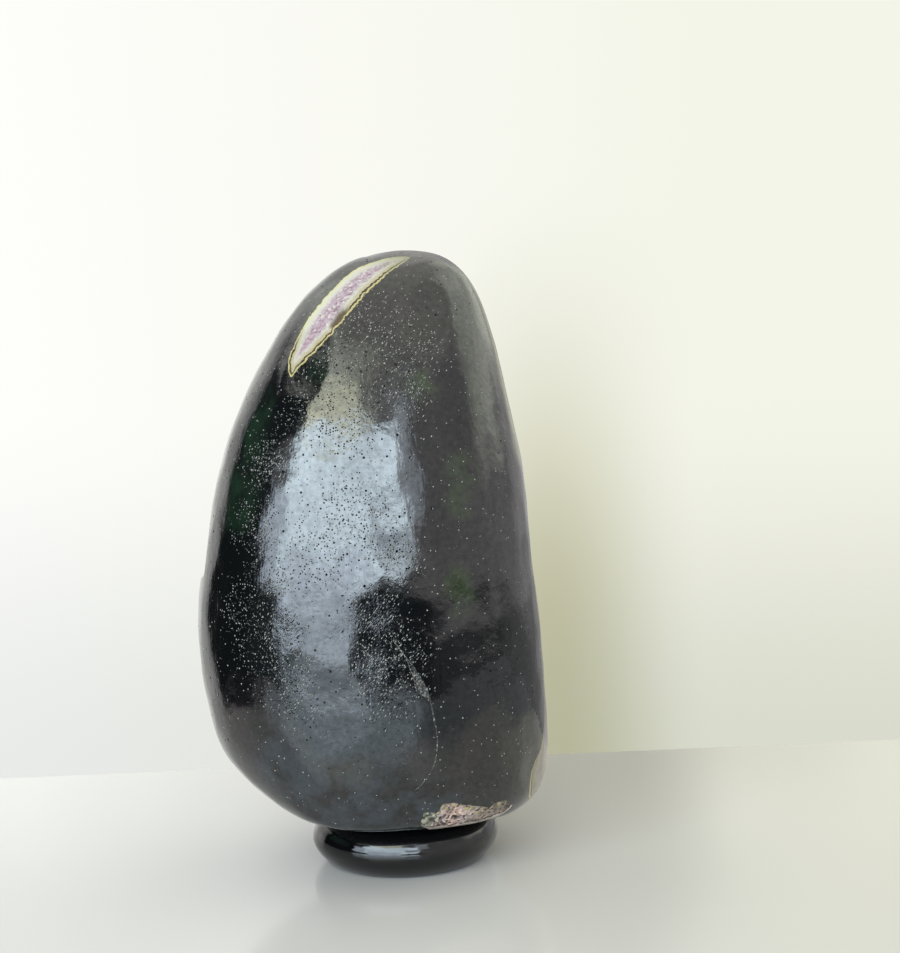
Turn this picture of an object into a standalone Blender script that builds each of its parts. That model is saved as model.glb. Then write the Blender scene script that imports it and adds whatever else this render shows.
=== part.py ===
"""A polished amethyst geode egg that stands on a black glass ring.

Lengths are in millimetres and angles in degrees, and MM turns a length to metres where a mesh is made. +Z is up,
the front faces -Y, and z = 0 is the surface that the ring stands on. Outlines are drawn about the ring's axis, and
the whole object is then moved along X, so that the origin lies under the middle of its box.
"""

import math
import random

import bmesh
import bpy
import numpy as np
from mathutils import Vector

MM = 0.001
RING_AXIS_X = 9.95

# Glass ring: a fat torus, its lower outer half drawn in, its underside ground to a flat band
RING_DIAMETER = 70.0
RING_GLASS_WIDTH = 20.0
RING_HEIGHT = 18.4
RING_FOOT_TAPER = 0.22
RING_GROUND_OFF = 0.6
RING_STEPS = 48
RING_ARC_STEPS = 12

# Stone: radii measured from its core to two outlines, (x, z) seen from the front and (y, z) seen from the right
CORE = np.array([-8.0, 0.0, 100.0])
FRONT_OUTLINE = (
    (9, 228.4), (28, 220.3), (36.8, 203), (42.8, 178), (48.4, 148), (50.4, 118), (52.8, 90), (54.3, 62), (54.7, 44),
    (52.5, 28.5), (44.5, 19.6), (24, 18.9), (0, 18), (-24, 19.1), (-42, 23.4), (-54.5, 31.3), (-65.8, 43), (-72, 62),
    (-74.6, 88), (-71.3, 118), (-66, 144), (-58, 168), (-46.4, 190.5), (-30.8, 212), (-11, 225.6),
)
SIDE_OUTLINE = (
    (4, 226.2), (23, 215.5), (40, 190), (51.5, 155), (57.5, 118), (59, 84), (56, 50), (45, 26.5), (25, 19.3),
    (0, 18.1), (-25, 19.1), (-38, 19.4), (-44, 21.4), (-50, 28), (-55, 44), (-57.5, 78), (-57, 112), (-50, 154),
    (-37.5, 192), (-19, 217.5),
)
SQUARENESS = 0.25

# Broad flats left by the grinding wheel: azimuth and elevation that each faces, and how much was ground off
FLATS = (
    (-118, 24, 0.9), (-74, 27, 0.8), (-100, -3, 0.7), (-62, 2, 0.8), (-142, 3, 0.7), (-114, -30, 1.0),
    (-66, -28, 0.8), (-34, -10, 0.5), (-92, 60, 0.7), (96, 22, 1.1), (58, 16, 0.9), (132, 10, 0.9),
    (84, -20, 1.0), (126, -32, 0.9), (48, -28, 0.7), (92, 58, 0.8),
)
FLAT_EDGE_SOFTNESS = 0.35
SURVEY_STEP = 4.0

# The stone's mesh: a rounded cube, drawn out upwards so that its faces are even on the tall egg
CUBE_DIVISIONS = 22
CUBE_STRETCH = 1.5

# A flake broken off the left side, which leaves a ledge under it
FLAKE_AZIMUTH = -172.0
FLAKE_HEIGHT = 109.0
FLAKE_DEPTH = 1.4
FLAKE_LEAN = 8.0
FLAKE_SIZE = (20.0, 40.0, 60.0)
LEDGE_DROP = 24.0

# Beds sunk in the skin: the azimuth they are drawn from, a middle line of (across, z, half width), and their depths
SLIT_BED = (-90, ((-33.0, 184.0, 0.5), (-30.4, 188.6, 1.7), (-28.2, 193.3, 2.3), (-23.6, 200.2, 2.5),
                  (-18.2, 206.6, 2.5), (-12.2, 212.4, 2.1), (-6.6, 216.9, 1.5), (-2.6, 219.2, 0.5)))
SIDE_BED = (15, ((-4.6, 112.0, 2.0), (-4.2, 106.5, 6.0), (-3.8, 100.5, 9.8), (-3.4, 94.0, 12.9), (-3.1, 87.5, 15.0),
                 (-3.0, 81.0, 16.2), (-3.0, 74.5, 16.7), (-3.1, 68.0, 16.5), (-3.5, 61.5, 15.8), (-4.2, 55.0, 14.4),
                 (-5.4, 49.0, 12.4), (-7.2, 43.0, 9.8), (-9.4, 37.5, 6.6), (-11.6, 33.0, 2.0)))
BASE_BED = (-62, ((-15.5, 27.4, 0.8), (-12.0, 26.2, 3.6), (-7.5, 25.2, 4.4), (-2.0, 24.2, 4.0), (4.0, 23.4, 2.6),
                  (10.0, 23.9, 1.8), (15.5, 25.0, 0.5)))
VEIN = (-90, ((-2.5, 87.8, 0.5), (0.0, 84.8, 0.8), (3.5, 79.9, 0.6), (4.9, 73.2, 1.5), (8.1, 69.0, 1.2),
              (10.2, 63.5, 0.6), (11.5, 56.5, 0.5), (11.0, 47.0, 0.5), (7.3, 41.2, 0.5), (2.0, 36.0, 0.4)))
SLIT_DEPTHS = (0.5, 1.3)
SIDE_DEPTHS = (0.8, 3.4)
BASE_DEPTHS = (0.4, 1.8)
VEIN_DEPTHS = (0.4, 0.7)
ROOF_CLEARANCE = 2.5

# Gas bubbles that the grinding opened
PIT_COUNT = 34
PIT_RADII = (0.9, 1.5)
PIT_SPACING = 13.0
PIT_HEIGHTS = (45.0, 205.0)
PIT_SIDES = 6
PIT_STEEPNESS = 0.9
PIT_SEED = 11

BASALT = (0.020, 0.021, 0.022, 1.0)
BLACK_GLASS = (0.005, 0.005, 0.006, 1.0)


def remove_everything():
    for thing in list(bpy.data.objects):
        bpy.data.objects.remove(thing, do_unlink=True)


def finish(name, colour, roughness):
    """A material with the colour, shine and roughness of one piece."""
    material = bpy.data.materials.new(name)
    material.use_nodes = True
    shader = material.node_tree.nodes["Principled BSDF"]
    shader.inputs["Base Color"].default_value = colour
    shader.inputs["Roughness"].default_value = roughness
    shader.inputs["Metallic"].default_value = 0.0
    return material


def add_object(name, mesh, parent, material=None, smooth_angle=None):
    """Turns a bmesh drawn in millimetres into an object under the ring's axis."""
    bmesh.ops.scale(mesh, vec=(MM, MM, MM), verts=mesh.verts)
    data = bpy.data.meshes.new(name)
    mesh.to_mesh(data)
    mesh.free()
    if smooth_angle is not None:
        data.shade_smooth()
        data.set_sharp_from_angle(angle=math.radians(smooth_angle))
    if material is not None:
        data.materials.append(material)
    thing = bpy.data.objects.new(name, data)
    thing.parent = parent
    bpy.context.scene.collection.objects.link(thing)
    return thing


def closed_spline(angles, radii):
    """A smooth closed curve of radius against angle, through all the points: their second derivatives are solved."""
    order = np.argsort(angles)
    angles, radii = np.array(angles)[order], np.array(radii)[order]
    steps = np.diff(np.append(angles, angles[0] + 2 * math.pi))
    slopes = np.diff(np.append(radii, radii[0])) / steps
    count = len(angles)
    system = np.zeros((count, count))
    for i in range(count):
        system[i, i - 1] += steps[i - 1]
        system[i, i] += 2 * (steps[i - 1] + steps[i])
        system[i, (i + 1) % count] += steps[i]
    bends = np.linalg.solve(system, 6 * (slopes - np.roll(slopes, 1)))

    def radius(angle):
        turned = (angle - angles[0]) % (2 * math.pi) + angles[0]
        i = np.clip(np.searchsorted(angles, turned, side="right") - 1, 0, count - 1)
        j = (i + 1) % count
        past = turned - angles[i]
        left = steps[i] - past
        cubic = (bends[i] * left ** 3 + bends[j] * past ** 3) / (6 * steps[i])
        return (cubic + (radii[i] / steps[i] - bends[i] * steps[i] / 6) * left
                + (radii[j] / steps[i] - bends[j] * steps[i] / 6) * past)

    return radius


def outline_radius(points, middle):
    """The closed spline through an outline, with its angle measured from straight up."""
    offsets = np.array(points, float) - middle
    return closed_spline(np.arctan2(offsets[:, 0], offsets[:, 1]), np.hypot(offsets[:, 0], offsets[:, 1]))


def heading(azimuth, elevation):
    """The unit direction with this azimuth and elevation in degrees."""
    turn, tilt = np.radians(azimuth), np.radians(elevation)
    return np.stack([np.cos(tilt) * np.cos(turn), np.cos(tilt) * np.sin(turn), np.sin(tilt)], axis=-1)


class Skin:
    """The stone's polished skin, as its distance from the core in any direction."""

    def __init__(self):
        self.across = outline_radius(FRONT_OUTLINE, CORE[[0, 2]])
        self.along = outline_radius(SIDE_OUTLINE, CORE[[1, 2]])
        turns, tilts = np.meshgrid(np.arange(0, 360, SURVEY_STEP), np.arange(-88, 89, SURVEY_STEP))
        directions = heading(turns.ravel(), tilts.ravel())
        rough = self.rough_radius(directions)
        self.flats = []
        for azimuth, elevation, depth in FLATS:
            normal = heading(azimuth, elevation)
            self.flats.append((normal, (rough * (directions @ normal)).max() - depth))

    def rough_radius(self, directions):
        """The egg before grinding: the two outlines, joined around it by a slightly squared ellipse."""
        x, y, z = directions.T
        polar = np.arctan2(np.hypot(x, y), z)
        turn = np.arctan2(y, x)
        wide = self.across(np.where(x >= 0, polar, -polar))
        deep = self.along(np.where(y >= 0, polar, -polar))
        power = 2 + SQUARENESS * np.sin(polar) ** 2
        return (np.abs(np.cos(turn)) ** power / wide ** power
                + np.abs(np.sin(turn)) ** power / deep ** power) ** (-1 / power)

    def radius(self, directions):
        radius = self.rough_radius(directions)
        for normal, reach in self.flats:
            over = radius - reach / np.maximum(directions @ normal, 0.05)
            radius = radius - 0.5 * (over + np.sqrt(over ** 2 + FLAT_EDGE_SOFTNESS ** 2))
        return radius

    def point(self, near, raised=0.0):
        """The point of the skin on the line from the core through near, raised by this much."""
        offset = np.array(near, float) - CORE
        direction = offset / np.linalg.norm(offset)
        return CORE + direction * (self.radius(direction[None, :])[0] + raised)

    def seen_from(self, azimuth, across, height):
        """The point of the skin that a far viewer at this azimuth sees at this place across and height."""
        toward = heading(azimuth, 0.0)
        rightward = np.array([-toward[1], toward[0], 0.0])
        base = np.array([0.0, 0.0, height]) + rightward * across
        inner, outer = 0.0, 2 * RING_DIAMETER
        for _ in range(40):
            middle = (inner + outer) / 2
            offset = base + toward * middle - CORE
            length = np.linalg.norm(offset)
            if length > self.radius(offset[None, :] / length)[0]:
                outer = middle
            else:
                inner = middle
        return base + toward * inner


def make_ring():
    """The ring's section is an arc that starts and ends at the edges of the ground flat, turned around the axis."""
    half = (RING_HEIGHT + RING_GROUND_OFF) / 2
    reach = RING_GLASS_WIDTH / 2
    flat_angle = math.asin(1 - RING_GROUND_OFF / half)
    section = []
    for angle in np.linspace(-flat_angle, math.pi + flat_angle, RING_ARC_STEPS + 1):
        drawn_in = 1 - RING_FOOT_TAPER * max(0.0, -math.sin(angle)) ** 1.5
        section.append((RING_DIAMETER / 2 - reach + reach * math.cos(angle) * drawn_in,
                        half - RING_GROUND_OFF + half * math.sin(angle)))
    mesh = bmesh.new()
    loops = []
    for step in range(RING_STEPS):
        turn = 2 * math.pi * step / RING_STEPS
        loops.append([mesh.verts.new((r * math.cos(turn), r * math.sin(turn), z)) for r, z in section])
    for a, b in zip(loops, loops[1:] + loops[:1]):
        for i in range(len(section)):
            j = (i + 1) % len(section)
            mesh.faces.new((a[i], b[i], b[j], a[j]))
    bmesh.ops.recalc_face_normals(mesh, faces=mesh.faces)
    return mesh


def make_egg(skin):
    """A rounded cube whose corners are moved out to the skin."""
    mesh = bmesh.new()
    bmesh.ops.create_cube(mesh, size=2.0)
    bmesh.ops.subdivide_edges(mesh, edges=mesh.edges[:], cuts=CUBE_DIVISIONS - 1, use_grid_fill=True)
    corners = np.array([vertex.co for vertex in mesh.verts])
    directions = np.tan(corners * math.pi / 4)
    directions /= np.linalg.norm(directions, axis=1)[:, None]
    directions[:, 2] *= CUBE_STRETCH
    directions /= np.linalg.norm(directions, axis=1)[:, None]
    for vertex, place in zip(mesh.verts, CORE + directions * skin.radius(directions)[:, None]):
        vertex.co = place
    return mesh


def make_bed(skin, line, depths, cells, seed):
    """A cutter whose floor lies under the skin as high and low points by turns. Each four-cornered cell is split
    between its low corners, so that the high ones stand alone like the tips of small crystals."""
    stations = line[1]
    draw = random.Random(seed)
    middles = bed_points(skin, line)
    mesh = bmesh.new()
    floor, roof = [], []
    for i, middle in enumerate(middles):
        onward = middles[min(i + 1, len(middles) - 1)] - middles[max(i - 1, 0)]
        sideways = np.cross(onward, middle - CORE)
        sideways /= np.linalg.norm(sideways)
        floor.append([])
        roof.append([])
        for j in range(cells + 1):
            near = middle + sideways * stations[i][2] * (2 * j / cells - 1)
            inside = 0 < j < cells and 0 < i < len(middles) - 1
            depth = depths[(i + j) % 2] if inside else depths[0]
            if inside:
                depth *= draw.uniform(0.75, 1.2)
            floor[-1].append(mesh.verts.new(skin.point(near, -depth)))
            roof[-1].append(mesh.verts.new(skin.point(near, ROOF_CLEARANCE)))
    last = len(middles) - 1
    for i in range(last):
        for j in range(cells):
            for sheet in (floor, roof):
                corners = [sheet[i][j], sheet[i + 1][j], sheet[i + 1][j + 1], sheet[i][j + 1]]
                if (i + j) % 2 == 0:
                    corners = corners[1:] + corners[:1]
                mesh.faces.new(corners[:3])
                mesh.faces.new((corners[0], corners[2], corners[3]))
        for j in (0, cells):
            mesh.faces.new((floor[i][j], floor[i + 1][j], roof[i + 1][j], roof[i][j]))
    for i in (0, last):
        for j in range(cells):
            mesh.faces.new((floor[i][j], floor[i][j + 1], roof[i][j + 1], roof[i][j]))
    bmesh.ops.recalc_face_normals(mesh, faces=mesh.faces)
    return mesh


def make_flake(skin):
    """A block whose inner face leans in with the skin and whose lower face falls away outwards, which is the ledge."""
    outward = heading(FLAKE_AZIMUTH, 0.0)
    sideways = np.array([-outward[1], outward[0], 0.0])
    foot = skin.seen_from(FLAKE_AZIMUTH, 0.0, FLAKE_HEIGHT) - outward * FLAKE_DEPTH
    thick, wide, tall = FLAKE_SIZE
    mesh = bmesh.new()
    bmesh.ops.create_cube(mesh, size=1.0)
    for vertex in mesh.verts:
        out, across, up = vertex.co.x + 0.5, vertex.co.y, vertex.co.z + 0.5
        drop = LEDGE_DROP * out * (1 - up)
        lean = tall * up * math.tan(math.radians(FLAKE_LEAN))
        vertex.co = foot + outward * (thick * out - lean) + sideways * wide * across + [0, 0, tall * up - drop]
    bmesh.ops.recalc_face_normals(mesh, faces=mesh.faces)
    return mesh


def make_pits(skin, taken):
    """Small double cones centred on the skin, apart from each other and from the places that are taken."""
    draw = random.Random(PIT_SEED)
    mesh = bmesh.new()
    places = []
    while len(places) < PIT_COUNT:
        place = skin.seen_from(draw.uniform(0, 360), 0.0, draw.uniform(*PIT_HEIGHTS))
        if any(np.linalg.norm(place - other) < PIT_SPACING for other in places + taken):
            continue
        places.append(place)
        outward = Vector(place - CORE).normalized()
        level = outward.to_track_quat("Z", "Y")
        size = draw.uniform(*PIT_RADII)
        rim = []
        for step in range(PIT_SIDES):
            turn = 2 * math.pi * step / PIT_SIDES
            rim.append(mesh.verts.new(Vector(place) + level @ Vector((math.cos(turn), math.sin(turn), 0)) * size))
        tips = [mesh.verts.new(Vector(place) + outward * size * side) for side in (1, -PIT_STEEPNESS)]
        for a, b in zip(rim, rim[1:] + rim[:1]):
            mesh.faces.new((a, b, tips[0]))
            mesh.faces.new((b, a, tips[1]))
    bmesh.ops.recalc_face_normals(mesh, faces=mesh.faces)
    return mesh


def bed_points(skin, line):
    azimuth, stations = line
    return [skin.seen_from(azimuth, across, height) for across, height, _ in stations]


def carve(egg, cutter):
    """Takes the cutter's shape out of the egg and keeps the cutter as a wire guide."""
    cutter.display_type = "WIRE"
    cutter.hide_render = True
    cut = egg.modifiers.new(cutter.name, "BOOLEAN")
    cut.operation = "DIFFERENCE"
    cut.solver = "EXACT"
    cut.object = cutter


def main():
    remove_everything()
    axis = bpy.data.objects.new("ring_axis", None)
    axis.location.x = RING_AXIS_X * MM
    bpy.context.scene.collection.objects.link(axis)

    skin = Skin()
    add_object("ring_stand", make_ring(), axis, finish("black_glass", BLACK_GLASS, 0.04), smooth_angle=40)
    egg = add_object("amethyst_egg", make_egg(skin), axis, finish("polished_basalt", BASALT, 0.16), smooth_angle=25)
    carve(egg, add_object("flake_cutter", make_flake(skin), axis))
    beds = (
        ("slit_bed_cutter", SLIT_BED, SLIT_DEPTHS, 4),
        ("side_bed_cutter", SIDE_BED, SIDE_DEPTHS, 8),
        ("base_bed_cutter", BASE_BED, BASE_DEPTHS, 4),
        ("vein_cutter", VEIN, VEIN_DEPTHS, 2),
    )
    taken = []
    for seed, (name, line, depths, cells) in enumerate(beds, start=1):
        carve(egg, add_object(name, make_bed(skin, line, depths, cells, seed), axis))
        taken += bed_points(skin, line)
    carve(egg, add_object("pit_cutter", make_pits(skin, taken), axis))


main()
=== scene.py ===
"""The looks of a polished amethyst geode egg that stands on a black glass ring.

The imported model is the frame. Every shape here is drawn in millimetres about the ring's axis, with +Z up
and the front facing -Y, and MM turns it to metres where a mesh is made. Settings that hold a length are in
metres, as Blender shows them.
"""

import math

import bmesh
import bpy
import numpy as np
from bpy.props import FloatProperty, FloatVectorProperty, IntProperty, PointerProperty
from mathutils import Matrix, Vector, noise


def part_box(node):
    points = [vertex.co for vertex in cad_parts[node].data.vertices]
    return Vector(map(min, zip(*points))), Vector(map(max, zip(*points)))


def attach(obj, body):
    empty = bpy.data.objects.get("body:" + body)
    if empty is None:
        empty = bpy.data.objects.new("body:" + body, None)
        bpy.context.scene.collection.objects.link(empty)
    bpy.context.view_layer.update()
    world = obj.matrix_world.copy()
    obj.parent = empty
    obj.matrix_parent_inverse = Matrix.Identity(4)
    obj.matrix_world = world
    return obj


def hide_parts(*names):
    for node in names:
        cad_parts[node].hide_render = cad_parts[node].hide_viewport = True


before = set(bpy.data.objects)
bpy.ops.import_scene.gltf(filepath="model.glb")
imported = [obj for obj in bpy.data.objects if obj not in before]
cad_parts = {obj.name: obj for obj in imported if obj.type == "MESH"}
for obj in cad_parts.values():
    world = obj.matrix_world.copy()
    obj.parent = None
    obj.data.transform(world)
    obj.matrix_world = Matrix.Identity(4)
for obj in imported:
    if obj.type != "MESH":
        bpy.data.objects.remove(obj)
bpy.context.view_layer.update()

bl_info = {
    "name": "Amethyst Geode Egg",
    "version": (1, 0, 0),
    "blender": (4, 5, 0),
    "location": "3D View > Sidebar > Geode Egg",
    "description": "Finishes a polished geode egg and its glass ring, and sets them on a pale board",
    "category": "Add Mesh",
}

MM = 0.001
RING_LOW, RING_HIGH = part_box("ring_stand")
AXIS = (RING_LOW + RING_HIGH) / 2
AXIS.z = 0.0

# Stone: radii measured from its core to two outlines, (x, z) as seen from the front and (y, z) as seen from
# the right
CORE = np.array([-8.0, 0.0, 100.0])
FRONT_OUTLINE = (
    (9, 228.4), (28, 220.3), (36.8, 203), (42.8, 178), (48.4, 148), (50.4, 118), (52.8, 90), (54.3, 62),
    (54.7, 44), (52.5, 28.5), (44.5, 19.6), (24, 18.9), (0, 18), (-24, 19.1), (-42, 23.4),
    (-54.5, 31.3), (-65.8, 43), (-72, 62), (-74.6, 88), (-71.3, 118), (-66, 144), (-58, 168),
    (-46.4, 190.5), (-30.8, 212), (-11, 225.6),
)
SIDE_OUTLINE = (
    (4, 226.2), (23, 215.5), (40, 190), (51.5, 155), (57.5, 118), (59, 84), (56, 50), (45, 26.5),
    (25, 19.3), (0, 18.1), (-25, 19.1), (-38, 19.4), (-44, 21.4), (-50, 28), (-55, 44), (-57.5, 78),
    (-57, 112), (-50, 154), (-37.5, 192), (-19, 217.5),
)
SQUARENESS = 0.25

# Broad flats left by the grinding wheel: azimuth and elevation that each faces, and how much was ground off
FLATS = (
    (-118, 24, 0.9), (-74, 27, 0.8), (-100, -3, 0.7), (-62, 2, 0.8), (-142, 3, 0.7), (-114, -30, 1.0),
    (-66, -28, 0.8), (-34, -10, 0.5), (-92, 60, 0.7), (96, 22, 1.1), (58, 16, 0.9), (132, 10, 0.9),
    (84, -20, 1.0), (126, -32, 0.9), (48, -28, 0.7), (92, 58, 0.8),
)
FLAT_EDGE_SOFTNESS = 0.35
SURVEY_STEP = 4.0
# Small facets between them: how many are thrown, their seed, how far each reaches, and the skin's own curve
FACET_TRIES = 6000
FACET_SEED = 12
FACET_REACH = 0.72
SKIN_CURVE = 70.0
# The skin starts as a cube of this many divisions a side, stretched upwards
CUBE_DIVISIONS = 92
CUBE_STRETCH = 1.5
SKIN_SHARP_ANGLE = 32
# A viewer's line is halved this often, from this far out, to find the skin on it
FARTHEST = 140.0
HALVINGS = 40
# How often a strip's middle line is smoothed
EASINGS = 12

# A flake broken off the left side, which leaves a ledge under it
FLAKE_AZIMUTH = -172.0
FLAKE_HEIGHT = 109.0
FLAKE_DEPTH = 1.4
FLAKE_LEAN = 8.0
FLAKE_SIZE = (20.0, 40.0, 60.0)
LEDGE_DROP = 24.0

# Cut across a chalcedony seam high on the front: its middle line from the front, (x, z, half width)
SLIT = (
    (-34.9, 178.6, 0.4), (-34.3, 181.5, 2.2), (-33.1, 184.9, 3.6), (-30.7, 188.6, 4.7),
    (-27.6, 192.8, 5.6), (-24.3, 197.1, 6.5), (-21.2, 201.2, 6.8), (-18.1, 205.2, 6.6),
    (-14.9, 209.0, 6.3), (-11.4, 212.6, 6.1), (-7.7, 215.8, 5.9), (-4.0, 218.5, 5.6), (0.1, 220.8, 5.0),
    (3.6, 222.3, 3.9), (6.6, 223.3, 2.2), (8.4, 223.6, 0.5),
)
# Window over the crystals on the right, seen from azimuth 15: the outer edge of its rim, and its bed's edge
WINDOW_VIEW = (15.0, 0.0)
WINDOW_MIDDLE = (-4.0, 70.0)
WINDOW_RIM = (
    (-27.4, 109.0), (-28.0, 100.0), (-27.4, 90.0), (-28.4, 79.0), (-29.6, 67.0), (-29.6, 58.0),
    (-31.2, 51.0), (-34.6, 44.8), (-38.0, 38.5), (-38.8, 33.0), (-36.0, 26.5), (-28.0, 22.6),
    (-17.0, 21.6), (-6.0, 22.2), (5.0, 26.5), (13.0, 35.0), (18.0, 46.0), (20.6, 59.0), (21.2, 73.0),
    (20.4, 87.0), (17.6, 99.0), (12.0, 109.5), (4.0, 117.0), (-6.0, 120.6), (-16.0, 119.6),
    (-23.6, 115.4),
)
WINDOW_BED = (
    (-4.6, 112.0), (-10.2, 106.5), (-13.6, 100.5), (-16.3, 94.0), (-18.1, 87.5), (-19.2, 81.0),
    (-19.7, 74.5), (-19.6, 68.0), (-19.3, 61.5), (-18.6, 55.0), (-17.8, 49.0), (-17.0, 43.0),
    (-16.0, 37.5), (-13.0, 32.6), (-8.0, 31.6), (-2.8, 37.5), (2.6, 43.0), (7.0, 49.0), (10.2, 55.0),
    (12.3, 61.5), (13.4, 68.0), (13.7, 74.5), (13.2, 81.0), (11.9, 87.5), (9.5, 94.0), (6.0, 100.5),
    (1.8, 106.5),
)
# Rough quartz at the foot, seen from below the front: its middle line, (across, up, half width)
PATCH_VIEW = (-68.0, -35.0)
PATCH = (
    (-12.4, 50.0, 0.4), (-11.6, 49.6, 1.6), (-9.2, 46.9, 5.0), (-6.0, 46.3, 8.0), (-3.6, 45.8, 7.9),
    (-1.2, 45.0, 7.0), (1.9, 44.7, 7.1), (5.9, 44.2, 6.4), (8.8, 43.7, 6.1), (11.3, 42.6, 4.9),
    (13.0, 43.4, 4.6), (16.2, 44.2, 6.0), (18.4, 45.0, 5.6), (21.1, 45.0, 3.4), (23.2, 46.0, 0.4),
)
# Holes in that quartz: across, up, radius
PATCH_HOLES = (
    (-9.6, 49.6, 0.7), (-8.2, 51.0, 0.6), (-7.4, 48.4, 0.8), (-6.4, 52.6, 0.7), (-5.2, 46.4, 1.2),
    (-4.6, 50.2, 0.6), (-8.6, 45.0, 1.4), (-6.6, 44.0, 1.3), (-1.6, 49.0, 1.0), (-0.6, 46.2, 1.3),
    (0.8, 45.6, 1.2), (2.0, 46.6, 0.8), (6.6, 48.8, 0.8), (7.6, 46.6, 0.7), (-2.6, 51.2, 0.7),
)
# Quartz vein down the front, (x, z, radius): its long thread, and a short one that leaves it and comes back
VEIN = (
    ((-2.2, 88.1, 0.3), (0.0, 84.7, 0.36), (2.6, 81.0, 0.26), (4.5, 78.5, 0.24), (6.6, 75.0, 0.22),
     (8.5, 71.2, 0.26), (9.4, 68.2, 0.28), (9.7, 66.6, 0.34), (10.6, 61.5, 0.3), (11.3, 57.5, 0.36),
     (11.6, 54.0, 0.26), (11.4, 50.5, 0.24), (10.7, 46.6, 0.22), (9.4, 42.9, 0.2), (7.6, 40.4, 0.18),
     (5.4, 38.0, 0.16), (3.5, 36.6, 0.12)),
    ((2.2, 81.4, 0.2), (3.5, 77.4, 0.26), (4.2, 75.5, 0.22), (4.9, 71.6, 0.28), (6.5, 69.4, 0.26),
     (8.5, 68.0, 0.24), (9.7, 66.6, 0.24)),
)
# How far the thread lies under the skin, as a share of its radius
VEIN_SUNK = 0.45
# Broken quartz grains between the two threads, (x, z, half width)
VEIN_LENS = (
    (3.0, 80.6, 0.2), (4.9, 76.8, 0.9), (6.0, 74.0, 1.3), (7.0, 71.4, 1.5), (8.2, 69.2, 0.9),
    (9.5, 67.0, 0.2),
)

# How deep each inlay's recess is, how far its cutter and the inlay stand above the skin, and how thick
# the inlays are, the window's under its bed
RECESS_DEPTHS = {"slit": 2.2, "window": 7.2, "patch": 3.4, "lens": 0.9}
CUTTER_REACH = 3.0
PROUD = 0.02
WINDOW_WALL = 2.2
PATCH_DEPTH = 3.0
LENS_DEPTH = 0.8
# The front from afar, by azimuth and elevation
FRONT_VIEW = (-90.0, 0.0)

# Places on the front, (x, z), and how far each reaches: rough from the wheel's strokes, green, brown, or
# where a painted reflection of the pale board makes the foot bluer
STROKED = (
    (-14.0, 192.0, 24.0), (4.0, 186.0, 16.0), (-3.0, 82.0, 15.0), (-8.0, 97.0, 11.0),
    (4.5, 170.0, 11.0), (-40.0, 92.0, 10.0), (-36.0, 78.0, 10.0), (-34.0, 66.0, 8.0), (2.0, 114.0, 9.0),
    (-4.0, 70.0, 12.0), (-44.0, 122.0, 7.0), (-40.0, 108.0, 6.0), (-43.0, 150.0, 7.0),
)
GREEN = (
    (-47.0, 166.0, 9.0), (-50.0, 155.0, 10.0), (-53.0, 144.0, 11.0), (-55.0, 132.0, 10.0),
    (24.0, 143.0, 8.0), (23.0, 133.0, 7.0), (20.0, 106.0, 7.0), (21.0, 100.0, 7.0), (11.6, 173.0, 7.0),
    (-21.0, 182.0, 10.0),
)
BROWN = ((-56.0, 56.0, 14.0), (8.0, 46.0, 10.0), (20.0, 44.0, 12.0), (-2.0, 200.0, 11.0))
# The foot is painted bluer here, as a painted reflection of the pale board under it
PAINTED_BOARD_REFLECTION = ((-30.0, 38.0, 18.0), (-12.0, 32.0, 18.0), (8.0, 30.0, 14.0), (-46.0, 48.0, 12.0))
# Where small pores crowd together
CROWDED = (
    (-18.0, 163.0, 15.0), (-31.0, 166.0, 11.0), (-44.0, 148.0, 13.0), (-48.0, 128.0, 12.0),
    (-45.0, 108.0, 11.0), (-5.0, 82.0, 13.0), (-14.0, 130.0, 14.0), (-27.0, 117.0, 12.0),
    (-4.0, 120.0, 10.0), (-52.0, 98.0, 12.0), (-47.0, 84.0, 12.0), (-42.0, 72.0, 10.0),
)
# Pores too small to cut, kind by kind: where they lie, how far apart, the least and the greatest radius, the
# share of places that have one where they are thickest, how far the scatter is moved, and the share filled
BOWLS = (
    ("pitted", 1.15, 0.26, 0.46, 0.9, 0.0, 0.45), ("pitted", 3.0, 0.4, 0.75, 0.7, 40.0, 0.3),
    ("crowded", 0.9, 0.22, 0.36, 0.95, 70.0, 0.4), ("stray", 0.9, 0.24, 0.4, 1.0, 130.0, 0.7),
    ("stroked", 0.9, 0.2, 0.34, 0.8, 90.0, 0.6), ("stroked", 0.7, 0.18, 0.28, 0.75, 20.0, 0.6),
)
STRAY_SHARE = 0.07
# Wheel strokes run up to the right: dents about 1.5 mm long and 0.5 mm wide
STROKE_ANGLE = 52
STROKE_SCALE = (0.5, 0.7, 1.25)

# Where the board's colours turn, in millimetres right of the ring's axis or behind it: on the right it takes
# a painted reflection of the egg's warm shadow, and at its edges painted shade that the stone mirrors
BOARD_TURN = (-20.0, 200.0)
BOARD_NEAR_SHADE = (-125.0, -190.0)
BOARD_SIDE_SHADE = (258.0, 320.0)
BOARD_THICKNESS = 20.0

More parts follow.
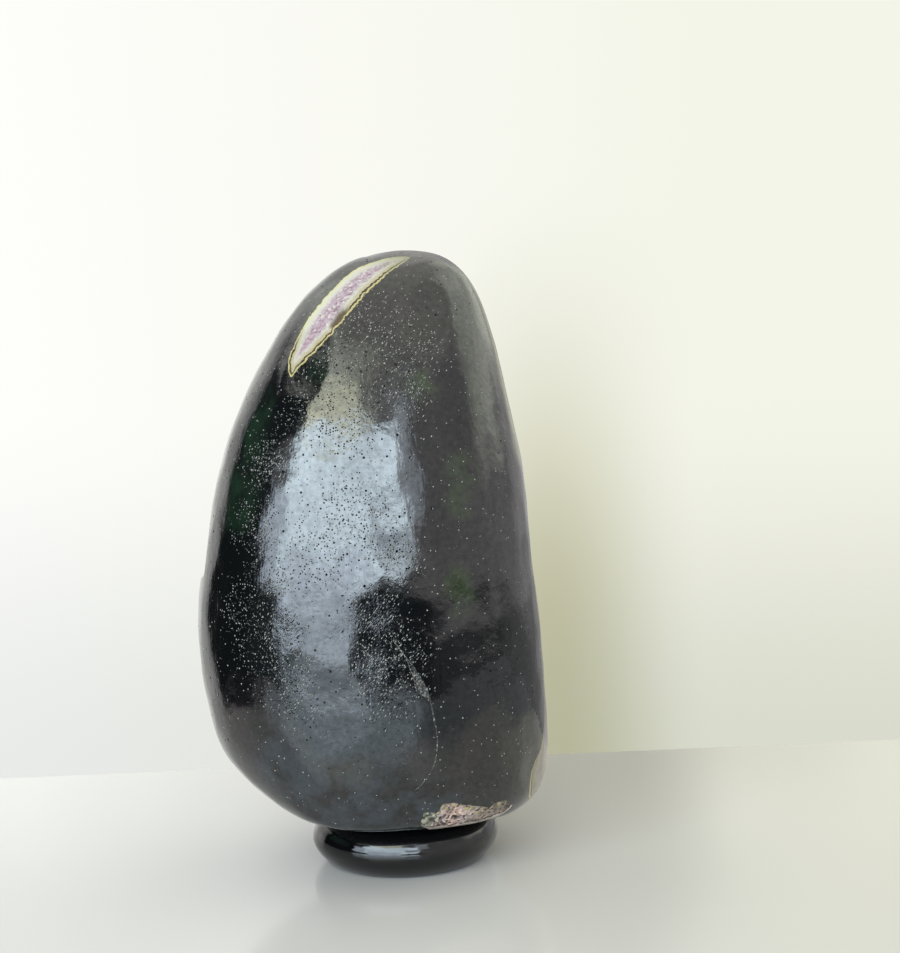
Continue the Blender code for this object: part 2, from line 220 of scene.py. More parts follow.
# Room light, each by the azimuth and elevation of its middle, its half width and half height, how soft its
# sides and its top and bottom are, all in degrees, its colour and its strength
ROOM_LIGHTS = (
    ("ceiling", 0, 90, 180, 48, 14, 14, "#fffdf4", 1.25),
    ("right wall", 27, 40, 37, 24, 14, 10, "#fbfff0", 1.9),
    ("left wall", 118, 12, 24, 40, 8, 8, "#f6f7f2", 1.15),
    ("dark corner", 178, 8, 27, 28, 6, 6, "#131a16", 1.0),
    ("green corner", 176, 22, 18, 9, 6, 6, "#33493a", 1.6),
    ("sill", -26, -12, 40, 8, 5, 6, "#6c6c6c", 1.0),
    ("shelf", -84, -12, 21, 12, 4, 6, "#22292c", 1.0),
    ("curtain", -141, -8, 20, 9, 6, 6, "#434e4c", 1.0),
    ("dark door", 46, -8, 52, 7, 7, 7, "#a6a6a6", 1.0),
    ("right backdrop", 66, 14, 12, 9, 6, 6, "#fbfae8", 0.95),
    ("backdrop's shade", 83, 14, 6, 9, 5, 6, "#6b6546", 1.0),
    ("left wall's top", 160, 56, 32, 14, 12, 12, "#f4f8ee", 2.2),
    ("window glow", -118, 45, 28, 11, 8, 8, "#fbffef", 2.8),
    ("lit blind", -121, 33, 24, 8, 6, 8, "#f3f5da", 6.8),
    ("window corner", -71, 28, 8, 9, 5, 6, "#dbe6f0", 3.6),
    ("window", -111, 16, 36, 13, 4, 6, "#e0f2fd", 10.2),
    ("dark blind", -160, 36, 20, 9, 6, 6, "#232a28", 1.0),
    ("window side", -150, 12, 7, 8, 4, 6, "#dcebfb", 6.6),
    ("lower pane", -117, 1, 21, 9, 5, 7, "#dcebfb", 7.8),
    ("drawn curtain", -83, 14, 9, 5, 8, 8, "#e2f1ff", 3.0),
    ("window foot", -113, -8, 11, 6, 4, 6, "#dcebf8", 5.0),
)
# How far the lights' edges waver
LIGHT_WAVER = 0.17
# Where the backdrop's colours turn, as the sine of the angle to the right or upwards
BACKDROP_TURN = (-0.3, 0.25)
BACKDROP_FALL = (0.08, -0.22)
SHADOW_HALF_WIDTH = 0.13
SHADOW_FALL = (0.26, -0.12)


def linear(code):
    """An sRGB hex colour as linear light, the one way that colours come in."""
    channels = [int(code[i:i + 2], 16) / 255 for i in (1, 3, 5)]
    return tuple(c / 12.92 if c <= 0.04045 else ((c + 0.055) / 1.055) ** 2.4 for c in channels)


def opaque(colour):
    """A hex colour, or a setting's colour, as a node takes it."""
    return (*(linear(colour) if isinstance(colour, str) else colour), 1.0)


def give(tree, node, inputs):
    """Gives each named or numbered input of a node a value or a link."""
    for key, value in inputs.items():
        if isinstance(value, bpy.types.NodeSocket):
            tree.links.new(value, node.inputs[key])
        else:
            node.inputs[key].default_value = value


def add(tree, kind, inputs=None, **settings):
    """Adds a node, sets it, and gives it its inputs. A ramp's stops are among the settings."""
    node = tree.nodes.new(kind)
    stops = settings.pop("stops", None)
    for name, value in settings.items():
        setattr(node, name, value)
    if stops:
        ramp = node.color_ramp.elements
        while len(ramp) < len(stops):
            ramp.new(1.0)
        for element, (position, colour) in zip(ramp, stops):
            element.position = position
            element.color = opaque(colour)
    give(tree, node, inputs or {})
    return node


def new_finish(name):
    """An empty material with a surface shader, and a place on the piece in millimetres for its patterns."""
    material = bpy.data.materials.new(name)
    material.use_nodes = True
    tree = material.node_tree
    tree.nodes.clear()
    shader = add(tree, "ShaderNodeBsdfPrincipled")
    add(tree, "ShaderNodeOutputMaterial", {"Surface": shader.outputs[0]})
    place = add(tree, "ShaderNodeTexCoord").outputs["Object"]
    place = add(tree, "ShaderNodeVectorMath", {0: place, "Scale": 1 / MM}, operation="SCALE").outputs[0]
    return material, tree, shader, place


def heading(azimuth, elevation):
    """The unit direction with this azimuth and elevation in degrees."""
    turn, tilt = np.radians(azimuth), np.radians(elevation)
    return np.stack([np.cos(tilt) * np.cos(turn), np.cos(tilt) * np.sin(turn), np.sin(tilt)], axis=-1)


def closed_spline(angles, radii):
    """A smooth closed curve of radius against angle, through all the points."""
    order = np.argsort(angles)
    angles, radii = np.array(angles)[order], np.array(radii)[order]
    steps = np.diff(np.append(angles, angles[0] + 2 * math.pi))
    slopes = np.diff(np.append(radii, radii[0])) / steps
    # The second derivative at each point follows from the slopes on both sides of it
    count = len(angles)
    system = np.zeros((count, count))
    for i in range(count):
        system[i, i - 1] += steps[i - 1]
        system[i, i] += 2 * (steps[i - 1] + steps[i])
        system[i, (i + 1) % count] += steps[i]
    bends = np.linalg.solve(system, 6 * (slopes - np.roll(slopes, 1)))

    def radius(angle):
        turned = (angle - angles[0]) % (2 * math.pi) + angles[0]
        i = np.clip(np.searchsorted(angles, turned, side="right") - 1, 0, count - 1)
        j = (i + 1) % count
        past = turned - angles[i]
        left = steps[i] - past
        cubic = (bends[i] * left ** 3 + bends[j] * past ** 3) / (6 * steps[i])
        return (cubic + (radii[i] / steps[i] - bends[i] * steps[i] / 6) * left
                + (radii[j] / steps[i] - bends[j] * steps[i] / 6) * past)

    return radius


def outline_radius(points, middle):
    """The closed spline through an outline, with its angle measured from straight up."""
    offsets = np.array(points, float) - middle
    return closed_spline(np.arctan2(offsets[:, 0], offsets[:, 1]), np.hypot(offsets[:, 0], offsets[:, 1]))


def smooth(value, start, end):
    """0 before start, 1 after end, with a soft step between."""
    t = np.clip((value - start) / (end - start), 0, 1)
    return t * t * (3 - 2 * t)


def waves(points, size, seed=0.0):
    """Smooth noise from -1 to 1 whose bumps are about this wide."""
    return np.array([noise.noise(Vector(p) / size + Vector((seed, seed, seed))) for p in points])


class Skin:
    """The stone's polished skin, as its distance from the core in any direction."""

    def __init__(self, stone):
        self.facet_gap = stone.facet_size / MM
        self.facet_flatness = stone.facet_flatness
        self.swells = ((stone.swell_spacing / MM, stone.swell_height / MM),
                       (stone.dimple_spacing / MM, stone.dimple_height / MM),
                       (stone.chatter_spacing / MM, stone.chatter_height / MM))
        self.across = outline_radius(FRONT_OUTLINE, CORE[[0, 2]])
        self.along = outline_radius(SIDE_OUTLINE, CORE[[1, 2]])
        turns, tilts = np.meshgrid(np.arange(0, 360, SURVEY_STEP), np.arange(-88, 89, SURVEY_STEP))
        directions = heading(turns.ravel(), tilts.ravel())
        rough = self.rough_radius(directions)
        self.flats = []
        for azimuth, elevation, depth in FLATS:
            normal = heading(azimuth, elevation)
            self.flats.append((normal, (rough * (directions @ normal)).max() - depth))
        self.facets = self.facet_middles()

    def rough_radius(self, directions):
        """The egg before grinding: the two outlines, joined around it by a slightly squared ellipse."""
        x, y, z = directions.T
        polar = np.arctan2(np.hypot(x, y), z)
        turn = np.arctan2(y, x)
        wide = self.across(np.where(x >= 0, polar, -polar))
        deep = self.along(np.where(y >= 0, polar, -polar))
        power = 2 + SQUARENESS * np.sin(polar) ** 2
        return (np.abs(np.cos(turn)) ** power / wide ** power
                + np.abs(np.sin(turn)) ** power / deep ** power) ** (-1 / power)

    def radius(self, directions):
        """The even skin's distance from the core, once the broad flats are ground."""
        radius = self.rough_radius(directions)
        for normal, reach in self.flats:
            over = radius - reach / np.maximum(directions @ normal, 0.05)
            radius = radius - 0.5 * (over + np.sqrt(over ** 2 + FLAT_EDGE_SOFTNESS ** 2))
        return radius

    def facet_middles(self):
        """Middles of the small facets, thrown at random and kept where no other is near."""
        throws = np.random.RandomState(FACET_SEED).normal(size=(FACET_TRIES, 3))
        throws /= np.linalg.norm(throws, axis=1)[:, None]
        places = CORE + throws * self.radius(throws)[:, None]
        kept = places[:1]
        for place in places[1:]:
            if ((kept - place) ** 2).sum(1).min() > self.facet_gap ** 2:
                kept = np.vstack([kept, place])
        return kept

    def relief(self, points):
        """How far the wheel's low waves and half-flat facets lie under the even skin."""
        waved = sum(height * (1 + waves(points, spacing)) for spacing, height in self.swells)
        gaps = (points ** 2).sum(1)[:, None] + (self.facets ** 2).sum(1)[None] - 2 * points @ self.facets.T
        least = gaps.min(1)
        softness = 0.5 / self.facet_gap
        blend = np.log(np.exp(-(gaps - least[:, None]) * softness).sum(1)) / softness
        bulge = (FACET_REACH * self.facet_gap) ** 2 - least + blend
        return waved + self.facet_flatness * np.maximum(bulge, 0) / (2 * SKIN_CURVE)

    def points(self, near, raised=0.0):
        """The points of the skin on the lines from the core through near, raised by this much."""
        offsets = np.asarray(near, float) - CORE
        directions = offsets / np.linalg.norm(offsets, axis=1)[:, None]
        radius = self.radius(directions)
        even = CORE + directions * radius[:, None]
        return CORE + directions * (radius - self.relief(even) + raised)[:, None]

    def seen_from(self, view, across, up):
        """The points of the even skin that a far viewer sees at these places across and up."""
        toward = heading(*view)
        rightward = heading(view[0] + 90, 0)
        upward = np.cross(toward, rightward)
        start = np.outer(across, rightward) + np.outer(up, upward) + toward * (CORE @ toward)
        inner, outer = np.zeros(len(start)), np.full(len(start), FARTHEST)
        for _ in range(HALVINGS):
            middle = (inner + outer) / 2
            offsets = start + toward * middle[:, None] - CORE
            lengths = np.linalg.norm(offsets, axis=1)
            beyond = lengths > self.radius(offsets / lengths[:, None])
            outer = np.where(beyond, middle, outer)
            inner = np.where(beyond, inner, middle)
        return start + toward * inner[:, None]


def new_piece(name, mesh, material, replaces="amethyst_egg"):
    """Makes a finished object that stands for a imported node."""
    mesh.name = name
    mesh.materials.clear()
    mesh.materials.append(material)
    thing = bpy.data.objects.new(name, mesh)
    bpy.context.scene.collection.objects.link(thing)
    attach(thing, "root")
    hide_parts(replaces)


def new_mesh(name, points, faces, sharp_angle=None, **attributes):
    """A closed mesh of points in millimetres about the ring's axis, with values per point as attributes."""
    mesh = bpy.data.meshes.new(name)
    mesh.from_pydata((np.asarray(points) * MM + np.array(AXIS)).tolist(), [], faces)
    carry(mesh, attributes)
    draft = bmesh.new()
    draft.from_mesh(mesh)
    bmesh.ops.recalc_face_normals(draft, faces=draft.faces)
    draft.to_mesh(mesh)
    draft.free()
    if sharp_angle is not None:
        mesh.shade_smooth()
        mesh.set_sharp_from_angle(angle=math.radians(sharp_angle))
    return mesh


def strip_faces(rows, columns):
    """Four-cornered faces of a grid of points, row after row."""
    return [(i * columns + j, (i + 1) * columns + j, (i + 1) * columns + j + 1, i * columns + j + 1)
            for i in range(rows - 1) for j in range(columns - 1)]


def disc_faces(rings, columns):
    """Faces of a disc: point 0 is its middle, and the rings follow it outwards."""
    faces = [(0, 1 + j, 1 + (j + 1) % columns) for j in range(columns)]
    for i in range(rings - 1):
        for j in range(columns):
            a, b = 1 + i * columns + j, 1 + i * columns + (j + 1) % columns
            faces.append((a, a + columns, b + columns, b))
    return faces


def slab(name, skin, near, faces, tops, bottom, sharp_angle=None, **attributes):
    """A closed slab let into the skin: a sheet raised by tops, the same sheet at the bottom, and a wall."""
    count = len(near)
    used = {}
    for face in faces:
        for a, b in zip(face, face[1:] + face[:1]):
            used[frozenset((a, b))] = None if frozenset((a, b)) in used else (a, b)
    walls = [(edge[0], edge[1], edge[1] + count, edge[0] + count) for edge in used.values() if edge]
    under = [tuple(i + count for i in reversed(face)) for face in faces]
    points = np.concatenate([skin.points(near, tops), skin.points(near, -bottom)])
    doubled = {label: np.concatenate([values, values]) for label, values in attributes.items()}
    return new_mesh(name, points, faces + under + walls, sharp_angle, **doubled)


def carve(target, cutter_mesh):
    """Takes a cutter's shape out of the target, and leaves no modifier on it."""
    cutter = bpy.data.objects.new("cutter", cutter_mesh)
    bpy.context.scene.collection.objects.link(cutter)
    cut = target.modifiers.new("cut", "BOOLEAN")
    cut.operation = "DIFFERENCE"
    cut.solver = "MANIFOLD"
    cut.object = cutter
    target.data = evaluated_mesh(target)
    target.modifiers.remove(cut)
    bpy.data.objects.remove(cutter)


def evaluated_mesh(thing):
    """The mesh that an object's modifiers make."""
    view = bpy.context.evaluated_depsgraph_get()
    return bpy.data.meshes.new_from_object(thing.evaluated_get(view))


def new_tree(name, sockets):
    """A Geometry Nodes tree with named inputs of each kind, its inputs' sockets and its result's socket."""
    tree = bpy.data.node_groups.new(name, "GeometryNodeTree")
    for kind, labels in sockets.items():
        for label in labels:
            tree.interface.new_socket(label, in_out="INPUT", socket_type=kind)
    tree.interface.new_socket("Geometry", in_out="OUTPUT", socket_type="NodeSocketGeometry")
    given = tree.nodes.new("NodeGroupInput").outputs
    result = tree.nodes.new("NodeGroupOutput").inputs[0]
    return tree, given, result


def close_tree(tree, shape, material, result):
    """Ends a tree: what it placed is made real and gets its material."""
    real = add(tree, "GeometryNodeRealizeInstances", {0: shape}).outputs[0]
    finished = add(tree, "GeometryNodeSetMaterial", {"Geometry": real, "Material": material}).outputs[0]
    tree.links.new(finished, result)
    return tree


def grow(data, tree, values):
    """What a Geometry Nodes tree makes on a mesh or a curve, as a plain mesh."""
    carrier = bpy.data.objects.new("carrier", data)
    bpy.context.scene.collection.objects.link(carrier)
    grown = carrier.modifiers.new("growth", "NODES")
    grown.node_group = tree
    for item in tree.interface.items_tree:
        if item.in_out == "INPUT" and item.name in values:
            grown[item.identifier] = values[item.name]
    mesh = evaluated_mesh(carrier)
    carrier.modifiers.remove(grown)
    bpy.data.objects.remove(carrier)
    return mesh


def opened_pores():
    """Small balls scattered over a skin, none nearer than the spacing, most of them near the smallest."""
    tree, given, result = new_tree("opened_pores", {
        "NodeSocketGeometry": ("Skin",),
        "NodeSocketFloat": ("Spacing", "Density", "Smallest", "Largest", "Rarity"),
        "NodeSocketInt": ("Seed",),
        "NodeSocketMaterial": ("Material",),
    })
    pitted = add(tree, "GeometryNodeInputNamedAttribute", {"Name": "pitted"}, data_type="FLOAT").outputs[0]
    spots = add(tree, "GeometryNodeDistributePointsOnFaces", {
        "Mesh": given["Skin"], "Distance Min": given["Spacing"], "Density Max": given["Density"],
        "Density Factor": pitted, "Seed": given["Seed"],
    }, distribute_method="POISSON").outputs
    chance = add(tree, "FunctionNodeRandomValue", {"Seed": given["Seed"]}).outputs[1]
    rare = add(tree, "ShaderNodeMath", {0: chance, 1: given["Rarity"]}, operation="POWER").outputs[0]
    size = add(tree, "ShaderNodeMapRange", {
        "Value": rare, "To Min": given["Smallest"], "To Max": given["Largest"],
    }).outputs[0]
    ball = add(tree, "GeometryNodeMeshIcoSphere", {"Radius": 1.0, "Subdivisions": 1}).outputs["Mesh"]
    placed = add(tree, "GeometryNodeInstanceOnPoints", {
        "Points": spots["Points"], "Instance": ball, "Rotation": spots["Rotation"], "Scale": size,
    }).outputs[0]
    return close_tree(tree, placed, given["Material"], result)


def crystal_bed():
    """Six-sided points that lean every way on the sunk part of a bed, none nearer than the spacing."""
    tree, given, result = new_tree("crystal_bed", {
        "NodeSocketGeometry": ("Bed",),
        "NodeSocketObject": ("Point",),
        "NodeSocketFloat": ("Spacing", "Density", "Smallest", "Largest", "Lean"),
        "NodeSocketInt": ("Seed",),
        "NodeSocketMaterial": ("Material",),
    })
    sunk = add(tree, "GeometryNodeInputNamedAttribute", {"Name": "sunk"}, data_type="FLOAT").outputs[0]
    deep = add(tree, "FunctionNodeCompare", {0: sunk, 1: 0.8}, operation="GREATER_THAN").outputs[0]
    spots = add(tree, "GeometryNodeDistributePointsOnFaces", {
        "Mesh": given["Bed"], "Selection": deep, "Distance Min": given["Spacing"],
        "Density Max": given["Density"], "Seed": given["Seed"],
    }, distribute_method="POISSON").outputs
    less = add(tree, "ShaderNodeMath", {0: given["Lean"], 1: -1.0}, operation="MULTIPLY").outputs[0]
    stray = add(tree, "FunctionNodeRandomValue", {0: less, 1: given["Lean"], "Seed": 3},
                data_type="FLOAT_VECTOR").outputs[0]
    growth = add(tree, "ShaderNodeVectorMath", {0: spots["Normal"], 1: stray}, operation="ADD").outputs[0]
    upright = add(tree, "FunctionNodeAlignRotationToVector", {"Vector": growth}, axis="Z").outputs[0]
    spin = add(tree, "FunctionNodeRandomValue", {3: 2 * math.pi, "Seed": 5}).outputs[1]
    about = add(tree, "ShaderNodeCombineXYZ", {"Z": spin}).outputs[0]
    turned = add(tree, "FunctionNodeRotateRotation", {
        "Rotation": upright, "Rotate By": add(tree, "FunctionNodeEulerToRotation", {0: about}).outputs[0],
    }, rotation_space="LOCAL").outputs[0]
    size = add(tree, "FunctionNodeRandomValue", {
        2: given["Smallest"], 3: given["Largest"], "Seed": given["Seed"],
    }).outputs[1]
    shape = add(tree, "GeometryNodeObjectInfo", {"Object": given["Point"]}).outputs["Geometry"]
    placed = add(tree, "GeometryNodeInstanceOnPoints", {
        "Points": spots["Points"], "Instance": shape, "Rotation": turned, "Scale": size,
    }).outputs[0]
    tone = add(tree, "FunctionNodeRandomValue", {"Seed": 9}).outputs[1]
    toned = add(tree, "GeometryNodeStoreNamedAttribute", {"Geometry": placed, "Name": "tone", "Value": tone},
                data_type="FLOAT", domain="INSTANCE").outputs[0]
    return close_tree(tree, toned, given["Material"], result)


def rough_thread():
    """A lumpy thread along a curve, as thick as the curve's own radius says, give or take its roughness."""
    tree, given, result = new_tree("rough_thread", {
        "NodeSocketGeometry": ("Line",),
        "NodeSocketFloat": ("Step", "Lump size", "Lump height"),
        "NodeSocketMaterial": ("Material",),
    })
    even = add(tree, "GeometryNodeResampleCurve", {"Curve": given["Line"], "Length": given["Step"]},
               mode="LENGTH").outputs[0]
    ring = add(tree, "GeometryNodeCurvePrimitiveCircle", {"Resolution": 8, "Radius": 1.0}).outputs[0]
    thick = add(tree, "GeometryNodeInputRadius").outputs[0]
    thread = add(tree, "GeometryNodeCurveToMesh", {
        "Curve": even, "Profile Curve": ring, "Scale": thick, "Fill Caps": True,
    }).outputs[0]
    fine = add(tree, "ShaderNodeMath", {0: 1.0, 1: given["Lump size"]}, operation="DIVIDE").outputs[0]
    lumps = add(tree, "ShaderNodeTexNoise", {"Scale": fine, "Detail": 2.0}).outputs["Color"]
    swing = add(tree, "ShaderNodeVectorMath", {0: lumps, 1: (0.5,) * 3}, operation="SUBTRACT").outputs[0]
    push = add(tree, "ShaderNodeVectorMath", {0: swing, "Scale": given["Lump height"]},
               operation="SCALE").outputs[0]
    rough = add(tree, "GeometryNodeSetPosition", {"Geometry": thread, "Offset": push}).outputs[0]
    return close_tree(tree, rough, given["Material"], result)


def colour_property(name, description, code):
    """A setting that holds a colour."""
    return FloatVectorProperty(name=name, description=description, default=linear(code), size=3,
                               subtype="COLOR", min=0.0, max=1.0)


def length_property(name, description, millimetres):
    """A setting that holds a length."""
    return FloatProperty(name=name, description=description, default=millimetres * MM, min=0.0,
                         unit="LENGTH", precision=5)


def share_property(name, description, share):
    """A setting from 0 to 1."""
    return FloatProperty(name=name, description=description, default=share, min=0.0, max=1.0)


def angle_property(name, description, degrees):
    """A setting that holds an angle."""
    return FloatProperty(name=name, description=description, default=math.radians(degrees), subtype="ANGLE")


class GEODE_PG_stone(bpy.types.PropertyGroup):
    basalt: colour_property("Basalt", "Colour of the polished ground", "#08090a")
    celadonite: colour_property("Celadonite", "Colour of the green mineral in the ground", "#0e1a12")
    olive: colour_property("Olive", "Colour of the green mineral on the right", "#1b2611")
    rust: colour_property("Oxide", "Colour of the violet brown stains", "#181214")
    # A painted reflection of the pale board, laid into the stone's colour near the foot
    painted_reflection: colour_property("Painted reflection", "Colour of a painted reflection of the pale board near the foot", "#1e2429")
    filling: colour_property("Pore filling", "Colour of the pale mineral in some of the pores", "#918f88")
    facet_size: length_property("Facet size", "Least distance between two ground facets' middles", 11.0)
    facet_flatness: share_property("Facet flatness", "0 leaves the facets round, 1 makes them flat", 0.45)
    swell_spacing: length_property("Swell spacing", "Width of the broad waves that the wheel left", 21.0)
    swell_height: length_property("Swell height", "Height of the broad waves", 0.16)
    dimple_spacing: length_property("Dimple spacing", "Width of the middle waves", 8.0)
    dimple_height: length_property("Dimple height", "Height of the middle waves", 0.055)
    chatter_spacing: length_property("Chatter spacing", "Width of the small waves", 3.4)
    chatter_height: length_property("Chatter height", "Height of the small waves", 0.018)
    pore_spacing: length_property("Pore spacing", "Least distance between two pores", 1.9)
    pore_smallest: length_property("Smallest pore", "Radius of the smallest pores", 0.2)
    pore_largest: length_property("Largest pore", "Radius of the largest pores", 0.6)
    pore_density: FloatProperty(name="Pore density", default=62000.0,
                                description="Pores on a square metre where they are thickest")
    pore_seed: IntProperty(name="Pore seed", description="Which scatter of pores", default=4)


class GEODE_PG_agate(bpy.types.PropertyGroup):
    gold: colour_property("Gold line", "Colour of the iron-stained outer line", "#958a5c")
    dark: colour_property("Dark line", "Colour of the line inside the gold one", "#1c110b")
    cream: colour_property("Cream band", "Colour of the band inside the dark line", "#8f866a")
    white: colour_property("White band", "Colour of the quartz band", "#9b968a")
    mauve: colour_property("Mauve core", "Colour of the amethyst core", "#857179")
    slab_depth: length_property("Depth", "Thickness of the inlaid slabs", 2.0)


class GEODE_PG_crystals(bpy.types.PropertyGroup):
    amethyst: colour_property("Amethyst", "Colour seen through the points", "#7b4bab")
    bed_depth: length_property("Bed depth", "Depth of the bed under the polished rim", 5.2)
    spacing: length_property("Spacing", "Least distance between two points", 1.6)
    smallest: length_property("Smallest", "Radius of the smallest points", 0.9)
    largest: length_property("Largest", "Radius of the largest points", 1.5)
    density: FloatProperty(name="Density", description="Points on a square metre of bed", default=300000.0)
    lean: FloatProperty(name="Lean", description="How far the points lean from upright", default=0.35,
                        min=0.0)
    seed: IntProperty(name="Seed", description="Which scatter of points", default=7)


class GEODE_PG_ring(bpy.types.PropertyGroup):
    glass: colour_property("Glass", "Colour of the black glass", "#060607")
    glass_width: length_property("Glass width", "Width of the glass across the ring's section", 20.0)
    foot_taper: share_property("Foot taper", "How much the lower outer half is drawn in", 0.22)
    ground_off: length_property("Ground off", "Height ground off the underside", 0.6)
    steps: IntProperty(name="Steps", description="Segments around the ring", default=192, min=12)
    arc_steps: IntProperty(name="Arc steps", description="Segments around the glass", default=64, min=8)


class GEODE_PG_studio(bpy.types.PropertyGroup):
    board: colour_property("Board", "Colour of the glossy board on the left", "#b8b5b5")
    # A painted reflection of the egg's warm shadow on the backdrop, laid into the board's colour on the
    # right
    far_board_with_painted_shadow: colour_property("Far board with painted shadow", "Colour of the board on the right, tinted with a painted reflection of the egg's warm shadow", "#aeaca5")
    near_board: colour_property("Near board", "Colour of the board's shaded edges, which the stone mirrors",
                                "#767c82")
    wall: colour_property("Backdrop", "Colour of the plain backdrop on the left", "#fefefb")
    far_wall: colour_property("Far backdrop", "Colour of the plain backdrop on the right", "#f4f5e9")
    low_wall: colour_property("Low backdrop", "Colour of the backdrop near the board on the left", "#e9ebe9")
    far_low_wall: colour_property("Far low backdrop", "Colour of the backdrop near the board on the right",
                                  "#d9dbcd")
    shadow: colour_property("Shadow", "How the egg's shadow tints the backdrop beside it", "#d3d1bc")
    shadow_place: FloatProperty(name="Shadow place", default=0.125, description="Where the middle of that "
                                "shadow is seen, as the sine of the angle to the right")
    board_left: length_property("Board left", "From the ring's axis to the board's left edge", 240.0)
    board_right: length_property("Board right", "From the ring's axis to the board's right edge", 560.0)
    board_back: length_property("Board back", "From the ring's axis to the board's back edge", 155.0)
    board_front: length_property("Board front", "From the ring's axis to the board's front edge", 330.0)
    room: colour_property("Room", "Colour of the room's light where no lamp is", "#e8e5e6")
    eye: FloatVectorProperty(name="Eye", description="Camera's place from the ring's axis",
                             subtype="TRANSLATION", default=(0.0, -0.455, 0.138))
    yaw: angle_property("Yaw", "Camera's turn to the right", 2.66)
    pitch: angle_property("Pitch", "Camera's tilt upwards", 0.5)
    roll: angle_property("Roll", "Camera's roll", 1.9)
    lens: FloatProperty(name="Lens", description="Focal length in millimetres on a 36 mm sensor",
                        default=45.33)


class GEODE_PG_egg(bpy.types.PropertyGroup):
    stone: PointerProperty(type=GEODE_PG_stone)
    agate: PointerProperty(type=GEODE_PG_agate)
    crystals: PointerProperty(type=GEODE_PG_crystals)
    ring: PointerProperty(type=GEODE_PG_ring)
    studio: PointerProperty(type=GEODE_PG_studio)


